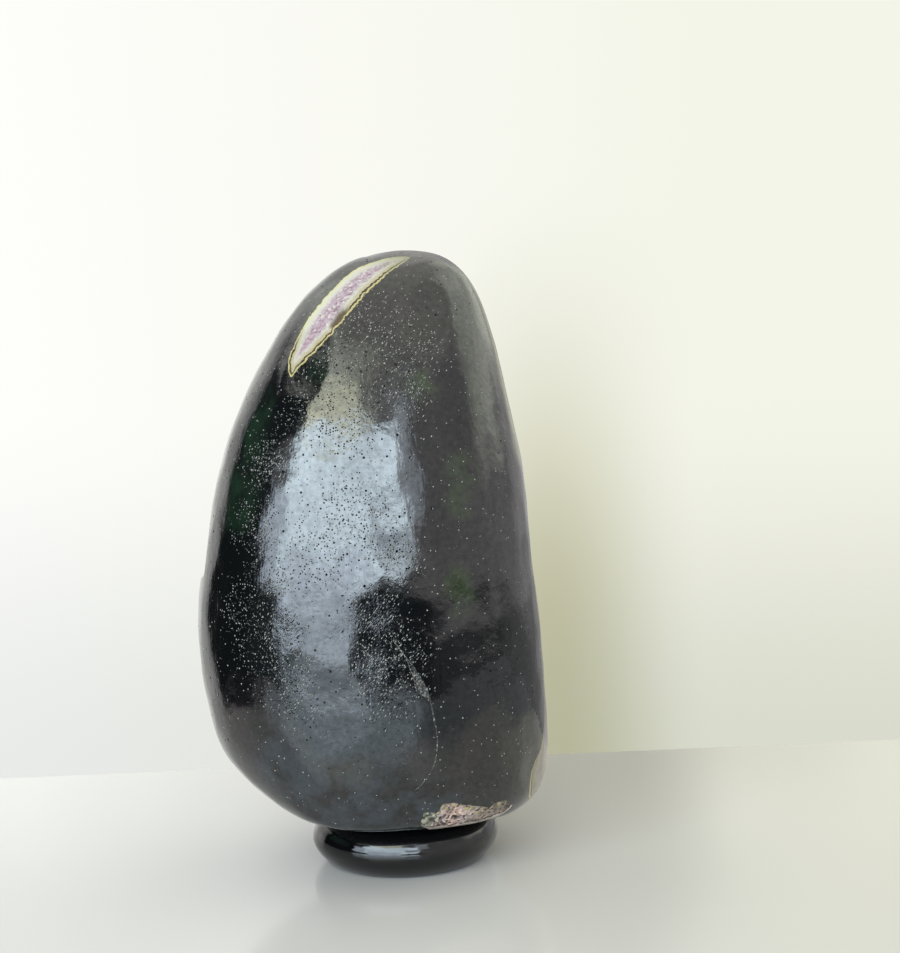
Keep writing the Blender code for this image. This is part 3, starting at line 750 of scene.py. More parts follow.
def polished_basalt(stone):
    """Basalt, belt ground and polished to a gloss: near black, with mirror-like waves, wheel strokes across
    it, open pores, green and brown minerals that show where nothing bright is mirrored, and a painted
    reflection of the board that makes its foot bluer."""
    material, tree, shader, place = new_finish("polished_basalt")
    pitted, crowded, stroked, painted_reflection, green, brown = [
        add(tree, "ShaderNodeAttribute", attribute_name=name).outputs["Fac"]
        for name in ("pitted", "crowded", "stroked", "painted_reflection", "green", "brown")]
    cloud = add(tree, "ShaderNodeTexNoise", {
        "Vector": place, "Scale": 1 / 9, "Detail": 5.0, "Roughness": 0.6,
    }).outputs["Fac"]
    ragged = add(tree, "ShaderNodeMapRange", {"Value": cloud, "From Min": 0.4, "From Max": 0.56}).outputs[0]
    # The green is bluer on the left of the stone and yellower on its right
    aside = add(tree, "ShaderNodeSeparateXYZ", {0: place}).outputs["X"]
    aside = add(tree, "ShaderNodeMapRange", {
        "Value": aside, "From Min": -10.0, "From Max": 14.0,
    }).outputs[0]
    mineral = add(tree, "ShaderNodeMix", {0: aside, 6: opaque(stone.celadonite), 7: opaque(stone.olive)},
                  data_type="RGBA").outputs[2]
    ground = opaque(stone.basalt)
    # The first colour here is a painted reflection of the pale board, laid in near the foot; the green and
    # brown are the stone's own minerals
    for stain_and_reflection, colour in ((painted_reflection, opaque(stone.painted_reflection)), (green, mineral), (brown, opaque(stone.rust))):
        amount = add(tree, "ShaderNodeMath", {0: ragged, 1: stain_and_reflection}, operation="MULTIPLY").outputs[0]
        ground = add(tree, "ShaderNodeMix", {0: amount, 6: ground, 7: colour}, data_type="RGBA").outputs[2]

    patches = add(tree, "ShaderNodeTexNoise", {
        "Vector": place, "Scale": 1 / 7, "Detail": 3.0,
    }).outputs["Fac"]
    patches = add(tree, "ShaderNodeMapRange", {
        "Value": patches, "From Min": 0.36, "From Max": 0.56, "To Min": 0.45,
    }).outputs[0]
    keen = add(tree, "ShaderNodeMath", {0: patches, 1: stroked}, operation="MULTIPLY").outputs[0]
    turned = add(tree, "ShaderNodeMapping", {
        "Vector": place, "Rotation": (0.0, math.radians(STROKE_ANGLE), 0.0),
    }).outputs[0]
    drawn_out = add(tree, "ShaderNodeMapping", {"Vector": turned, "Scale": STROKE_SCALE}).outputs[0]
    spreads = {"pitted": (place, pitted), "crowded": (place, crowded), "stray": (place, STRAY_SHARE),
               "stroked": (drawn_out, keen)}

    # Small pores are bowls around the middles of cells, where a cell has one and the skin passes near it
    height, openness, filled = 0.0, 0.0, 0.0
    for kind, cell, least, greatest, share, shift, filled_share in BOWLS:
        where, spread = spreads[kind]
        moved = add(tree, "ShaderNodeVectorMath", {0: where, 1: (shift,) * 3}).outputs[0]
        cells = add(tree, "ShaderNodeTexVoronoi", {"Vector": moved, "Scale": 1 / cell}).outputs
        far = add(tree, "ShaderNodeMath", {0: cells["Distance"], 1: cell}, operation="MULTIPLY").outputs[0]
        draw = add(tree, "ShaderNodeSeparateColor", {0: cells["Color"]}).outputs
        there = add(tree, "ShaderNodeMath", {0: spread, 1: share}, operation="MULTIPLY").outputs[0]
        there = add(tree, "ShaderNodeMath", {0: draw[0], 1: there}, operation="LESS_THAN").outputs[0]
        size = add(tree, "ShaderNodeMapRange", {
            "Value": draw[1], "To Min": least, "To Max": greatest,
        }).outputs[0]
        near = add(tree, "ShaderNodeMath", {0: far, 1: size}, operation="DIVIDE").outputs[0]
        bowl = add(tree, "ShaderNodeMapRange", {"Value": near, "From Min": 1.0, "From Max": 0.3},
                   interpolation_type="SMOOTHSTEP").outputs[0]
        bowl = add(tree, "ShaderNodeMath", {0: bowl, 1: there}, operation="MULTIPLY").outputs[0]
        height = add(tree, "ShaderNodeMath", {0: bowl, 1: size, 2: height},
                     operation="MULTIPLY_ADD").outputs[0]
        openness = add(tree, "ShaderNodeMath", {0: openness, 1: bowl}, operation="MAXIMUM").outputs[0]
        pale = add(tree, "ShaderNodeMath", {0: draw[2], 1: filled_share}, operation="LESS_THAN").outputs[0]
        filled = add(tree, "ShaderNodeMath", {0: bowl, 1: pale, 2: filled},
                     operation="MULTIPLY_ADD").outputs[0]

    strokes = add(tree, "ShaderNodeTexNoise", {
        "Vector": drawn_out, "Scale": 1.6, "Detail": 3.0, "Roughness": 0.6,
    }).outputs["Fac"]
    grain = add(tree, "ShaderNodeTexNoise", {
        "Vector": place, "Scale": 1 / 0.9, "Detail": 2.0,
    }).outputs["Fac"]
    ripple = add(tree, "ShaderNodeTexNoise", {
        "Vector": place, "Scale": 1 / 3.2, "Detail": 3.0,
    }).outputs["Fac"]
    # Long fine scratches run up the stone, and show where it is seen at a low angle
    upright = add(tree, "ShaderNodeMapping", {"Vector": place, "Scale": (1.0, 1.0, 0.05)}).outputs[0]
    scratches = add(tree, "ShaderNodeTexNoise", {
        "Vector": upright, "Scale": 1 / 1.3, "Detail": 3.0,
    }).outputs["Fac"]
    # Each mark has its height in millimetres, and the first two lie only where the wheel's strokes are
    marks = 0.0
    for mark, tall in ((strokes, 0.05), (grain, 0.03)):
        marks = add(tree, "ShaderNodeMath", {0: mark, 1: tall, 2: marks},
                    operation="MULTIPLY_ADD").outputs[0]
    marks = add(tree, "ShaderNodeMath", {0: marks, 1: keen}, operation="MULTIPLY").outputs[0]
    for mark, tall in ((ripple, 0.08), (scratches, 0.035), (height, -0.8)):
        marks = add(tree, "ShaderNodeMath", {0: mark, 1: tall, 2: marks},
                    operation="MULTIPLY_ADD").outputs[0]
    bump = add(tree, "ShaderNodeBump", {"Height": marks, "Distance": MM}).outputs[0]

    polish = add(tree, "ShaderNodeMapRange", {"Value": cloud, "To Min": 0.07, "To Max": 0.14}).outputs[0]
    rough = add(tree, "ShaderNodeMix", {0: openness, 2: polish, 3: 0.22}).outputs[0]
    smears = add(tree, "ShaderNodeTexNoise", {
        "Vector": place, "Scale": 1 / 1.8, "Detail": 3.0, "Roughness": 0.6,
    }).outputs["Fac"]
    smears = add(tree, "ShaderNodeMapRange", {
        "Value": smears, "From Min": 0.35, "From Max": 0.65, "To Min": 0.4, "To Max": 0.54,
    }).outputs[0]
    # Light that falls into an open pore is mostly lost there
    gloss = add(tree, "ShaderNodeMix", {0: openness, 2: smears, 3: 0.08}).outputs[0]
    ground = add(tree, "ShaderNodeMix", {0: filled, 6: ground, 7: opaque(stone.filling)},
                 data_type="RGBA").outputs[2]
    give(tree, shader, {
        "Base Color": ground, "Roughness": rough, "IOR": 1.7, "Specular IOR Level": gloss, "Normal": bump,
    })
    return material


def banded_agate(agate):
    """Chalcedony cut and polished across its bands: a stained gold line, a dark line, cream and white bands,
    and a core of fine mauve amethyst grains. The bands follow the rim's distance, which the mesh carries."""
    material, tree, shader, place = new_finish("banded_agate")
    rim, along, across, hollow = [
        add(tree, "ShaderNodeAttribute", attribute_name=name).outputs["Fac"]
        for name in ("rim", "along", "across", "hollow")]
    wave = add(tree, "ShaderNodeTexNoise", {
        "Vector": place, "Scale": 1 / 1.9, "Detail": 4.0, "Roughness": 0.6,
    }).outputs["Fac"]
    shift = add(tree, "ShaderNodeMath", {0: wave, 1: 1.7, 2: -0.85}, operation="MULTIPLY_ADD").outputs[0]
    upper = add(tree, "ShaderNodeMapRange", {
        "Value": across, "From Min": 1.0, "From Max": -1.0, "To Min": 0.0, "To Max": 0.35,
    }).outputs[0]
    depth = rim
    for change in (shift, upper):
        depth = add(tree, "ShaderNodeMath", {0: depth, 1: change}, operation="ADD").outputs[0]
    reach = add(tree, "ShaderNodeMath", {0: depth, 1: 7.0}, operation="DIVIDE").outputs[0]
    bands = add(tree, "ShaderNodeValToRGB", {0: reach}, stops=(
        (0.0, "#0d0b08"), (0.02, "#5f5230"), (0.05, agate.gold), (0.12, agate.gold), (0.14, agate.dark),
        (0.2, agate.dark), (0.225, "#6c5b39"), (0.26, agate.cream), (0.36, agate.cream), (0.45, agate.white),
        (0.56, agate.white), (0.68, agate.mauve), (1.0, agate.mauve),
    )).outputs[0]
    # Along the upper side the gold line fades straight into the cream one
    paler = add(tree, "ShaderNodeValToRGB", {0: reach}, stops=(
        (0.0, "#1c1a11"), (0.04, "#5b5534"), (0.075, "#978f5e"), (0.13, "#9c9572"), (0.28, "#9f9b89"),
        (0.45, agate.white), (0.56, agate.white), (0.68, agate.mauve), (1.0, agate.mauve),
    )).outputs[0]
    side = add(tree, "ShaderNodeMapRange", {"Value": across, "From Min": 0.5, "From Max": -0.5}).outputs[0]
    past_tip = add(tree, "ShaderNodeMapRange", {
        "Value": along, "From Min": 9.0, "From Max": 17.0,
    }).outputs[0]
    side = add(tree, "ShaderNodeMath", {0: side, 1: past_tip}, operation="MULTIPLY").outputs[0]
    bands = add(tree, "ShaderNodeMix", {0: side, 6: bands, 7: paler}, data_type="RGBA").outputs[2]
    grains = add(tree, "ShaderNodeTexVoronoi", {"Vector": place, "Scale": 1 / 0.85}).outputs["Color"]
    draw = add(tree, "ShaderNodeSeparateColor", {0: grains}).outputs
    granular = add(tree, "ShaderNodeValToRGB", {0: draw[0]}, stops=(
        (0.0, "#564149"), (0.12, "#6f585f"), (0.35, "#7f6b73"), (0.6, "#877680"), (0.85, "#928787"),
        (1.0, "#a8a394"),
    )).outputs[0]
    # The core is pinker near the lower tip, and its grains start inside the bands
    pinker = add(tree, "ShaderNodeMapRange", {
        "Value": along, "From Min": 34.0, "From Max": 8.0, "To Max": 0.3,
    }).outputs[0]
    granular = add(tree, "ShaderNodeMix", {0: pinker, 6: granular, 7: opaque("#8f6571")},
                   data_type="RGBA").outputs[2]
    core = add(tree, "ShaderNodeMapRange", {
        "Value": reach, "From Min": 0.46, "From Max": 0.66, "To Min": 0.1, "To Max": 0.8,
    }).outputs[0]
    outside = add(tree, "ShaderNodeMapRange", {
        "Value": reach, "From Min": 0.3, "From Max": 0.26,
    }).outputs[0]
    worn = add(tree, "ShaderNodeMapRange", {
        "Value": along, "From Min": 52.0, "From Max": 68.0, "To Max": 0.75,
    }).outputs[0]
    colour = bands
    for share, layer in ((core, granular), (outside, bands), (worn, opaque("#5c5b42")),
                         (hollow, opaque("#3d2d19"))):
        colour = add(tree, "ShaderNodeMix", {0: share, 6: colour, 7: layer}, data_type="RGBA").outputs[2]
    bump = add(tree, "ShaderNodeBump", {"Height": draw[2], "Distance": 0.05 * MM}).outputs[0]
    give(tree, shader, {"Base Color": colour, "Roughness": 0.22, "IOR": 1.54, "Normal": bump})
    return material


def window_agate(agate):
    """The window's rim: thin gold and dark lines, then broad cream, rose and grey bands to the crystals."""
    material, tree, shader, place = new_finish("window_agate")
    rim, band = [add(tree, "ShaderNodeAttribute", attribute_name=name).outputs["Fac"]
                 for name in ("rim", "band")]
    wave = add(tree, "ShaderNodeTexNoise", {
        "Vector": place, "Scale": 1 / 5.0, "Detail": 3.0,
    }).outputs["Fac"]
    shift = add(tree, "ShaderNodeMath", {0: wave, 1: 0.24, 2: -0.12}, operation="MULTIPLY_ADD").outputs[0]
    reach = add(tree, "ShaderNodeMath", {0: band, 1: shift}, operation="ADD").outputs[0]
    bands = add(tree, "ShaderNodeValToRGB", {0: reach}, stops=(
        (0.0, "#6f6858"), (0.14, "#857e70"), (0.24, "#736a60"), (0.34, "#8c7f79"), (0.46, "#86757a"),
        (0.55, "#9c9694"), (0.64, "#877d86"), (0.74, "#9a949b"), (0.86, "#7c6885"), (1.0, "#5f4875"),
    )).outputs[0]
    edge = add(tree, "ShaderNodeMath", {0: shift, 1: 2.0, 2: rim}, operation="MULTIPLY_ADD").outputs[0]
    edge = add(tree, "ShaderNodeMath", {0: edge, 1: 4.0}, operation="DIVIDE").outputs[0]
    lines = add(tree, "ShaderNodeValToRGB", {0: edge}, stops=(
        (0.0, "#14100a"), (0.04, agate.gold), (0.20, agate.gold), (0.25, agate.dark), (0.32, "#3a2c1c"),
        (0.38, "#a39a80"),
    )).outputs[0]
    mostly = add(tree, "ShaderNodeMapRange", {"Value": edge, "From Min": 0.34, "From Max": 0.42}).outputs[0]
    colour = add(tree, "ShaderNodeMix", {0: mostly, 6: lines, 7: bands}, data_type="RGBA").outputs[2]
    grain = add(tree, "ShaderNodeTexNoise", {
        "Vector": place, "Scale": 1 / 0.8, "Detail": 2.0,
    }).outputs["Fac"]
    bump = add(tree, "ShaderNodeBump", {"Height": grain, "Distance": 0.05 * MM}).outputs[0]
    give(tree, shader, {"Base Color": colour, "Roughness": 0.2, "IOR": 1.54, "Normal": bump})
    return material


def amethyst_crystal(crystals):
    """Amethyst as it grew: glassy flat faces, clear and pale at the root and violet at the tip."""
    material, tree, shader, place = new_finish("amethyst_crystal")
    tip, tone = [add(tree, "ShaderNodeAttribute", attribute_name=name).outputs["Fac"]
                 for name in ("tip", "tone")]
    veils = add(tree, "ShaderNodeTexNoise", {
        "Vector": place, "Scale": 1 / 1.6, "Detail": 4.0,
    }).outputs["Fac"]
    depth = add(tree, "ShaderNodeMath", {0: veils, 1: 0.5, 2: tip}, operation="MULTIPLY_ADD").outputs[0]
    colour = add(tree, "ShaderNodeValToRGB", {0: depth}, stops=(
        (0.1, "#d9cfe4"), (0.45, "#a688c6"), (0.85, crystals.amethyst), (1.0, "#5f3396"),
    )).outputs[0]
    pale = add(tree, "ShaderNodeMath", {0: tone, 1: 0.35}, operation="MULTIPLY").outputs[0]
    colour = add(tree, "ShaderNodeMix", {0: pale, 6: colour, 7: opaque("#8f6ec2")},
                 data_type="RGBA").outputs[2]
    give(tree, shader, {
        "Base Color": colour, "Roughness": 0.04, "IOR": 1.544, "Transmission Weight": 0.55,
    })
    return material


def rough_quartz():
    """Broken quartz, stained by iron: greenish white, rose, then peach along the patch, with dark gaps, and
    holes painted near black as painted shade, over a smoother cream layer that runs along its lower edge."""
    material, tree, shader, place = new_finish("rough_quartz")
    along, low, rim, hollow = [
        add(tree, "ShaderNodeAttribute", attribute_name=name).outputs["Fac"]
        for name in ("along", "low", "rim", "hollow")]
    cloud = add(tree, "ShaderNodeTexNoise", {
        "Vector": place, "Scale": 1 / 2.6, "Detail": 4.0, "Roughness": 0.6,
    }).outputs["Fac"]
    swing = add(tree, "ShaderNodeMath", {0: cloud, 1: 10.0, 2: along}, operation="MULTIPLY_ADD").outputs[0]
    spot = add(tree, "ShaderNodeMapRange", {"Value": swing, "From Min": 5.0, "From Max": 40.0}).outputs[0]
    colour = add(tree, "ShaderNodeValToRGB", {0: spot}, stops=(
        (0.0, "#8f9285"), (0.16, "#a1a191"), (0.24, "#b8a49f"), (0.36, "#c0a49c"), (0.46, "#b59f9f"),
        (0.56, "#ac9f99"), (0.62, "#8f807a"), (0.74, "#b5a396"), (0.86, "#9c8e86"), (1.0, "#6c6059"),
    )).outputs[0]
    # Each crystal is about a millimetre across and has a tone of its own
    crystals = add(tree, "ShaderNodeTexVoronoi", {"Vector": place, "Scale": 1 / 1.0}).outputs
    draw = add(tree, "ShaderNodeSeparateColor", {0: crystals["Color"]}).outputs
    tone = add(tree, "ShaderNodeValToRGB", {0: draw[0]}, stops=(
        (0.0, "#0d0a08"), (0.16, "#39322c"), (0.3, "#a9a39b"), (0.72, "#f0ece4"), (1.0, "#fff8e6"),
    )).outputs[0]
    colour = add(tree, "ShaderNodeMix", {0: 0.9, 6: colour, 7: tone}, data_type="RGBA",
                 blend_type="MULTIPLY").outputs[2]
    # Some crystals along the upper edge are yellow
    gilt = add(tree, "ShaderNodeMapRange", {"Value": draw[1], "From Min": 0.8, "From Max": 0.84}).outputs[0]
    high = add(tree, "ShaderNodeMapRange", {
        "Value": low, "From Min": -0.35, "From Max": -0.7, "To Max": 0.8,
    }).outputs[0]
    gilt = add(tree, "ShaderNodeMath", {0: gilt, 1: high}, operation="MULTIPLY").outputs[0]
    # The cream layer starts at a ragged line, and keeps away from the patch's tip
    drift = add(tree, "ShaderNodeMath", {0: cloud, 1: 0.5, 2: low}, operation="MULTIPLY_ADD").outputs[0]
    tip = add(tree, "ShaderNodeMapRange", {
        "Value": along, "From Min": 9.0, "From Max": 2.0, "To Max": 0.9,
    }).outputs[0]
    drift = add(tree, "ShaderNodeMath", {0: drift, 1: tip}, operation="SUBTRACT").outputs[0]
    cream = add(tree, "ShaderNodeValToRGB", {0: drift}, stops=(
        (0.56, "#1c0f0b"), (0.62, "#3c1813"), (0.66, "#a4968a"), (0.78, "#b7aea5"), (0.84, "#786c61"),
        (0.9, "#a99f95"), (1.0, "#a0968b"),
    )).outputs[0]
    smoother = add(tree, "ShaderNodeMapRange", {
        "Value": drift, "From Min": 0.54, "From Max": 0.58,
    }).outputs[0]
    border = add(tree, "ShaderNodeMapRange", {"Value": rim, "From Min": 0.4, "From Max": 0.0}).outputs[0]
    # The holes are painted near black, as painted shade inside them, and the line along the border is
    # darkened with them
    dark = add(tree, "ShaderNodeMath", {0: border, 1: hollow}, operation="MAXIMUM").outputs[0]
    for share, layer in ((gilt, opaque("#a3945c")), (smoother, cream), (dark, opaque("#0e0a07"))):
        colour = add(tree, "ShaderNodeMix", {0: share, 6: colour, 7: layer}, data_type="RGBA").outputs[2]
    bump = add(tree, "ShaderNodeBump", {"Height": draw[2], "Distance": 0.4 * MM}).outputs[0]
    give(tree, shader, {"Base Color": colour, "Roughness": 0.3, "IOR": 1.54, "Normal": bump})
    return material


def vein_quartz():
    """Quartz that filled a crack: greyish white and a little translucent, so the basalt darkens it."""
    material, tree, shader, place = new_finish("vein_quartz")
    cloud = add(tree, "ShaderNodeTexNoise", {
        "Vector": place, "Scale": 1 / 0.7, "Detail": 4.0, "Roughness": 0.65,
    }).outputs["Fac"]
    colour = add(tree, "ShaderNodeValToRGB", {0: cloud}, stops=(
        (0.4, "#080807"), (0.5, "#1e1d1b"), (0.57, "#46443f"), (0.66, "#8f8a85"),
    )).outputs[0]
    bump = add(tree, "ShaderNodeBump", {"Height": cloud, "Distance": 0.3 * MM}).outputs[0]
    give(tree, shader, {"Base Color": colour, "Roughness": 0.25, "IOR": 1.54, "Normal": bump})
    return material


def black_glass(ring):
    """Pressed glass coloured right through: black, wet looking, with a faint skin of mould waves."""
    material, tree, shader, place = new_finish("black_glass")
    wave = add(tree, "ShaderNodeTexNoise", {
        "Vector": place, "Scale": 1 / 14, "Detail": 1.0,
    }).outputs["Fac"]
    bump = add(tree, "ShaderNodeBump", {"Height": wave, "Distance": 0.12 * MM}).outputs[0]
    give(tree, shader, {"Base Color": opaque(ring.glass), "Roughness": 0.03, "IOR": 1.52, "Normal": bump})
    return material


def glazed_board(studio):
    """A pale laminated board with a gloss that softly mirrors what stands on it, a painted reflection of the
    egg's warm shadow on its right, and painted shade at its edges.
    """
    material, tree, shader, place = new_finish("glazed_board")
    parts = add(tree, "ShaderNodeSeparateXYZ", {0: place}).outputs
    right, near, beside = [
        add(tree, "ShaderNodeMapRange", {"Value": part, "From Min": start, "From Max": end}).outputs[0]
        for part, (start, end) in ((parts["X"], BOARD_TURN), (parts["Y"], BOARD_NEAR_SHADE),
                                   (parts["X"], BOARD_SIDE_SHADE))]
    shaded = add(tree, "ShaderNodeMath", {0: near, 1: beside}, operation="MAXIMUM").outputs[0]
    colour = opaque(studio.board)
    # On the right the board takes a painted reflection of the egg's warm shadow, and at its edges painted
    # shade
    for share, layer in ((right, studio.far_board_with_painted_shadow), (shaded, studio.near_board)):
        colour = add(tree, "ShaderNodeMix", {0: share, 6: colour, 7: opaque(layer)},
                     data_type="RGBA").outputs[2]
    give(tree, shader, {"Base Color": colour, "Roughness": 0.12, "IOR": 1.45})
    return material


def strip_on_skin(skin, line, view, cell, ragged):
    """Points of a strip along a middle line, its faces, and how far each point is along, across and in from
    the rim."""
    x, z, half = np.array(line).T
    middles = skin.seen_from(view, x, z)
    run = np.append(0, np.cumsum(np.linalg.norm(np.diff(middles, axis=0), axis=1)))
    at = np.linspace(0, run[-1], int(run[-1] / cell) + 1)
    rows = np.stack([np.interp(at, run, middles[:, k]) for k in range(3)], axis=1)
    half = np.interp(at, run, half)
    # The corners of the drawn line are eased
    for _ in range(EASINGS):
        rows[1:-1] = (rows[:-2] + 2 * rows[1:-1] + rows[2:]) / 4
        half[1:-1] = (half[:-2] + 2 * half[1:-1] + half[2:]) / 4
    sideways = np.cross(np.gradient(rows, axis=0), rows - CORE)
    sideways /= np.linalg.norm(sideways, axis=1)[:, None]
    columns = int(2 * half.max() / cell) + 1
    share = np.linspace(-1, 1, columns)[None, :]
    edges = [1 + ragged * (waves(rows, 2.3, seed) + 0.6 * waves(rows, 0.9, seed)) for seed in (1.0, 2.0)]
    reach = np.where(share < 0, edges[0][:, None], 1.4 * edges[1][:, None] - 0.4) * half[:, None]
    near = rows[:, None, :] + sideways[:, None, :] * (share * reach)[..., None]
    across = (share * half[:, None]).ravel()
    rim = (half[:, None] * (1 - np.abs(share))).ravel()
    along = np.broadcast_to(at[:, None], reach.shape).ravel()
    return near.reshape(-1, 3), strip_faces(len(at), columns), along, across, rim


def disc_on_skin(skin, view, middle, outline, rings, columns):
    """Points of a disc inside an outline, its faces, and each point's turn, radius and outline's radius."""
    reach = outline_radius(outline, middle)
    turns = np.linspace(0, 2 * math.pi, columns, endpoint=False)
    shares = np.arange(1, rings + 1) / rings
    turn = np.append(0, np.tile(turns, rings))
    outer = reach(turn)
    radius = np.append(0, np.repeat(shares, columns)) * outer
    near = skin.seen_from(view, middle[0] + radius * np.sin(turn), middle[1] + radius * np.cos(turn))
    return near, disc_faces(rings, columns), turn, radius, outer


def slit_sheet(skin):
    """The agate seam's strip."""
    return strip_on_skin(skin, SLIT, FRONT_VIEW, cell=0.4, ragged=0.08)


def window_sheet(skin):
    """The window's disc."""
    return disc_on_skin(skin, WINDOW_VIEW, WINDOW_MIDDLE, WINDOW_RIM, rings=42, columns=168)


def patch_sheet(skin):
    """The rough quartz's strip."""
    return strip_on_skin(skin, PATCH, PATCH_VIEW, cell=0.36, ragged=0.09)


def lens_sheet(skin):
    """The strip of broken grains in the vein."""
    return strip_on_skin(skin, VEIN_LENS, FRONT_VIEW, cell=0.3, ragged=0.2)


def nearness(skin, points, spots):
    """1 at the middle of the nearest of these places on the front, falling softly to 0 at its reach."""
    x, z, reach = np.array(spots).T
    middles = skin.seen_from(FRONT_VIEW, x, z)
    gaps = np.linalg.norm(points[:, None, :] - middles[None], axis=2) / reach
    return smooth(gaps.min(1), 1.25, 0.4)


def skin_marks(skin, points):
    """Where the stone is pitted, stroked and stained, and where a painted reflection of the board makes its
    foot bluer: the front as it is, and the back in loose patches.
    """
    x, y, z = points.T
    front = smooth(-y, -5.0, 25.0)
    patchy = smooth(waves(points, 26.0, 5.0), -0.25, 0.3)
    left_half = (0.4 * smooth(x, 38.0, 26.0) + 0.6 * smooth(x, 16.0, 2.0)) * smooth(z, 52.0, 78.0)
    clustered = smooth(waves(points, 13.0, 9.0), -0.35, 0.35)
    pitted_front = 0.16 + 0.84 * left_half * (0.35 + 0.65 * clustered)
    ragged = 0.35 * waves(points, 7.0, 3.0)
    near = nearness(skin, points, STROKED)
    stroked = front * np.clip(near + ragged * near, 0, 1) + (1 - front) * 0.5 * (1 - patchy)
    return {"pitted": front * pitted_front + (1 - front) * (0.2 + 0.6 * patchy), "stroked": stroked,
            "green": nearness(skin, points, GREEN), "brown": nearness(skin, points, BROWN),
            "painted_reflection": nearness(skin, points, PAINTED_BOARD_REFLECTION), "crowded": nearness(skin, points, CROWDED)}


def carry(mesh, marks):
    """Stores one value per point under each name."""
    for label, values in marks.items():
        layer = mesh.attributes.new(label, "FLOAT", "POINT")
        layer.data.foreach_set("value", np.asarray(values, np.float32))


def places_on(mesh):
    """The mesh's points in millimetres about the ring's axis."""
    flat = np.empty(3 * len(mesh.vertices), np.float32)
    mesh.vertices.foreach_get("co", flat)
    return (flat.reshape(-1, 3) - np.array(AXIS)) / MM


class GEODE_OT_stone(bpy.types.Operator):
    """Makes the stone's polished skin, with its inlays' recesses and its pores cut"""
    bl_idname = "geode.stone"
    bl_label = "Polish the Stone"

    def execute(self, context):
        stone = context.scene.geode_egg.stone
        skin = Skin(stone)
        draft = bmesh.new()
        bmesh.ops.create_cube(draft, size=2.0)
        bmesh.ops.subdivide_edges(draft, edges=draft.edges[:], cuts=CUBE_DIVISIONS - 1, use_grid_fill=True)
        corners = np.array([vertex.co for vertex in draft.verts])
        directions = np.tan(corners * math.pi / 4)
        directions /= np.linalg.norm(directions, axis=1)[:, None]
        directions[:, 2] *= CUBE_STRETCH
        for vertex, point in zip(draft.verts, skin.points(CORE + directions)):
            vertex.co = Vector(point) * MM + AXIS
        mesh = bpy.data.meshes.new("egg_skin")
        bmesh.ops.recalc_face_normals(draft, faces=draft.faces)
        draft.to_mesh(mesh)
        draft.free()

        material = polished_basalt(stone)
        mesh.materials.append(material)
        carry(mesh, {"pitted": skin_marks(skin, places_on(mesh))["pitted"]})
        pores = grow(mesh.copy(), opened_pores(), {
            "Spacing": stone.pore_spacing, "Density": stone.pore_density, "Smallest": stone.pore_smallest,
            "Largest": stone.pore_largest, "Rarity": 3.0, "Seed": stone.pore_seed, "Material": material,
        })
        mesh.attributes.remove(mesh.attributes["pitted"])
        thing = bpy.data.objects.new("egg_skin", mesh)
        context.scene.collection.objects.link(thing)
        carve(thing, flake(skin))
        sheets = {"slit": slit_sheet(skin), "window": window_sheet(skin), "patch": patch_sheet(skin),
                  "lens": lens_sheet(skin)}
        for name, (near, faces, *_) in sheets.items():
            carve(thing, slab(name, skin, near, faces, CUTTER_REACH, RECESS_DEPTHS[name]))
        carve(thing, pores)
        mesh = thing.data
        bpy.data.objects.remove(thing)
        mesh.shade_smooth()
        mesh.set_sharp_from_angle(angle=math.radians(SKIN_SHARP_ANGLE))
        carry(mesh, skin_marks(skin, places_on(mesh)))
        new_piece("egg_skin", mesh, material)
        return {"FINISHED"}


def flake(skin):
    """A block whose inner face leans in with the skin. Its lower face falls away outwards, as the ledge."""
    outward = heading(FLAKE_AZIMUTH, 0.0)
    sideways = heading(FLAKE_AZIMUTH + 90, 0.0)
    foot = skin.seen_from((FLAKE_AZIMUTH, 0.0), np.zeros(1), np.array([FLAKE_HEIGHT]))[0]
    foot = foot - outward * FLAKE_DEPTH
    thick, wide, tall = FLAKE_SIZE
    points = []
    for up in (0, 1):
        lean = tall * up * math.tan(math.radians(FLAKE_LEAN))
        for out, across in ((0, -1), (1, -1), (1, 1), (0, 1)):
            points.append(foot + outward * (thick * out - lean) + sideways * wide * across / 2
                          + [0, 0, tall * up - LEDGE_DROP * out * (1 - up)])
    faces = [(0, 1, 2, 3), (4, 5, 6, 7), (0, 1, 5, 4), (1, 2, 6, 5), (2, 3, 7, 6), (3, 0, 4, 7)]
    return new_mesh("flake", points, faces)


class GEODE_OT_slit(bpy.types.Operator):
    """Lets the banded agate into the stone high on the front"""
    bl_idname = "geode.slit"
    bl_label = "Inlay the Agate Seam"

    def execute(self, context):
        settings = context.scene.geode_egg
        skin = Skin(settings.stone)
        near, faces, along, across, rim = slit_sheet(skin)
        hollow = smooth(np.hypot((along - 29.0) / 6.5, (across - 4.2) / 1.9), 1.0, 0.5)
        groove = smooth(rim, 0.8, 1.05) * smooth(rim, 1.5, 1.2)
        core = smooth(rim, 3.2, 4.6) * (1 + waves(near, 0.8))
        tops = PROUD - 0.06 * core - 0.12 * groove - 1.1 * hollow
        mesh = slab("slit_agate", skin, near, faces, tops, settings.agate.slab_depth / MM, sharp_angle=40,
                    rim=rim, along=along, across=across, hollow=hollow)
        new_piece("slit_agate", mesh, banded_agate(settings.agate))
        return {"FINISHED"}


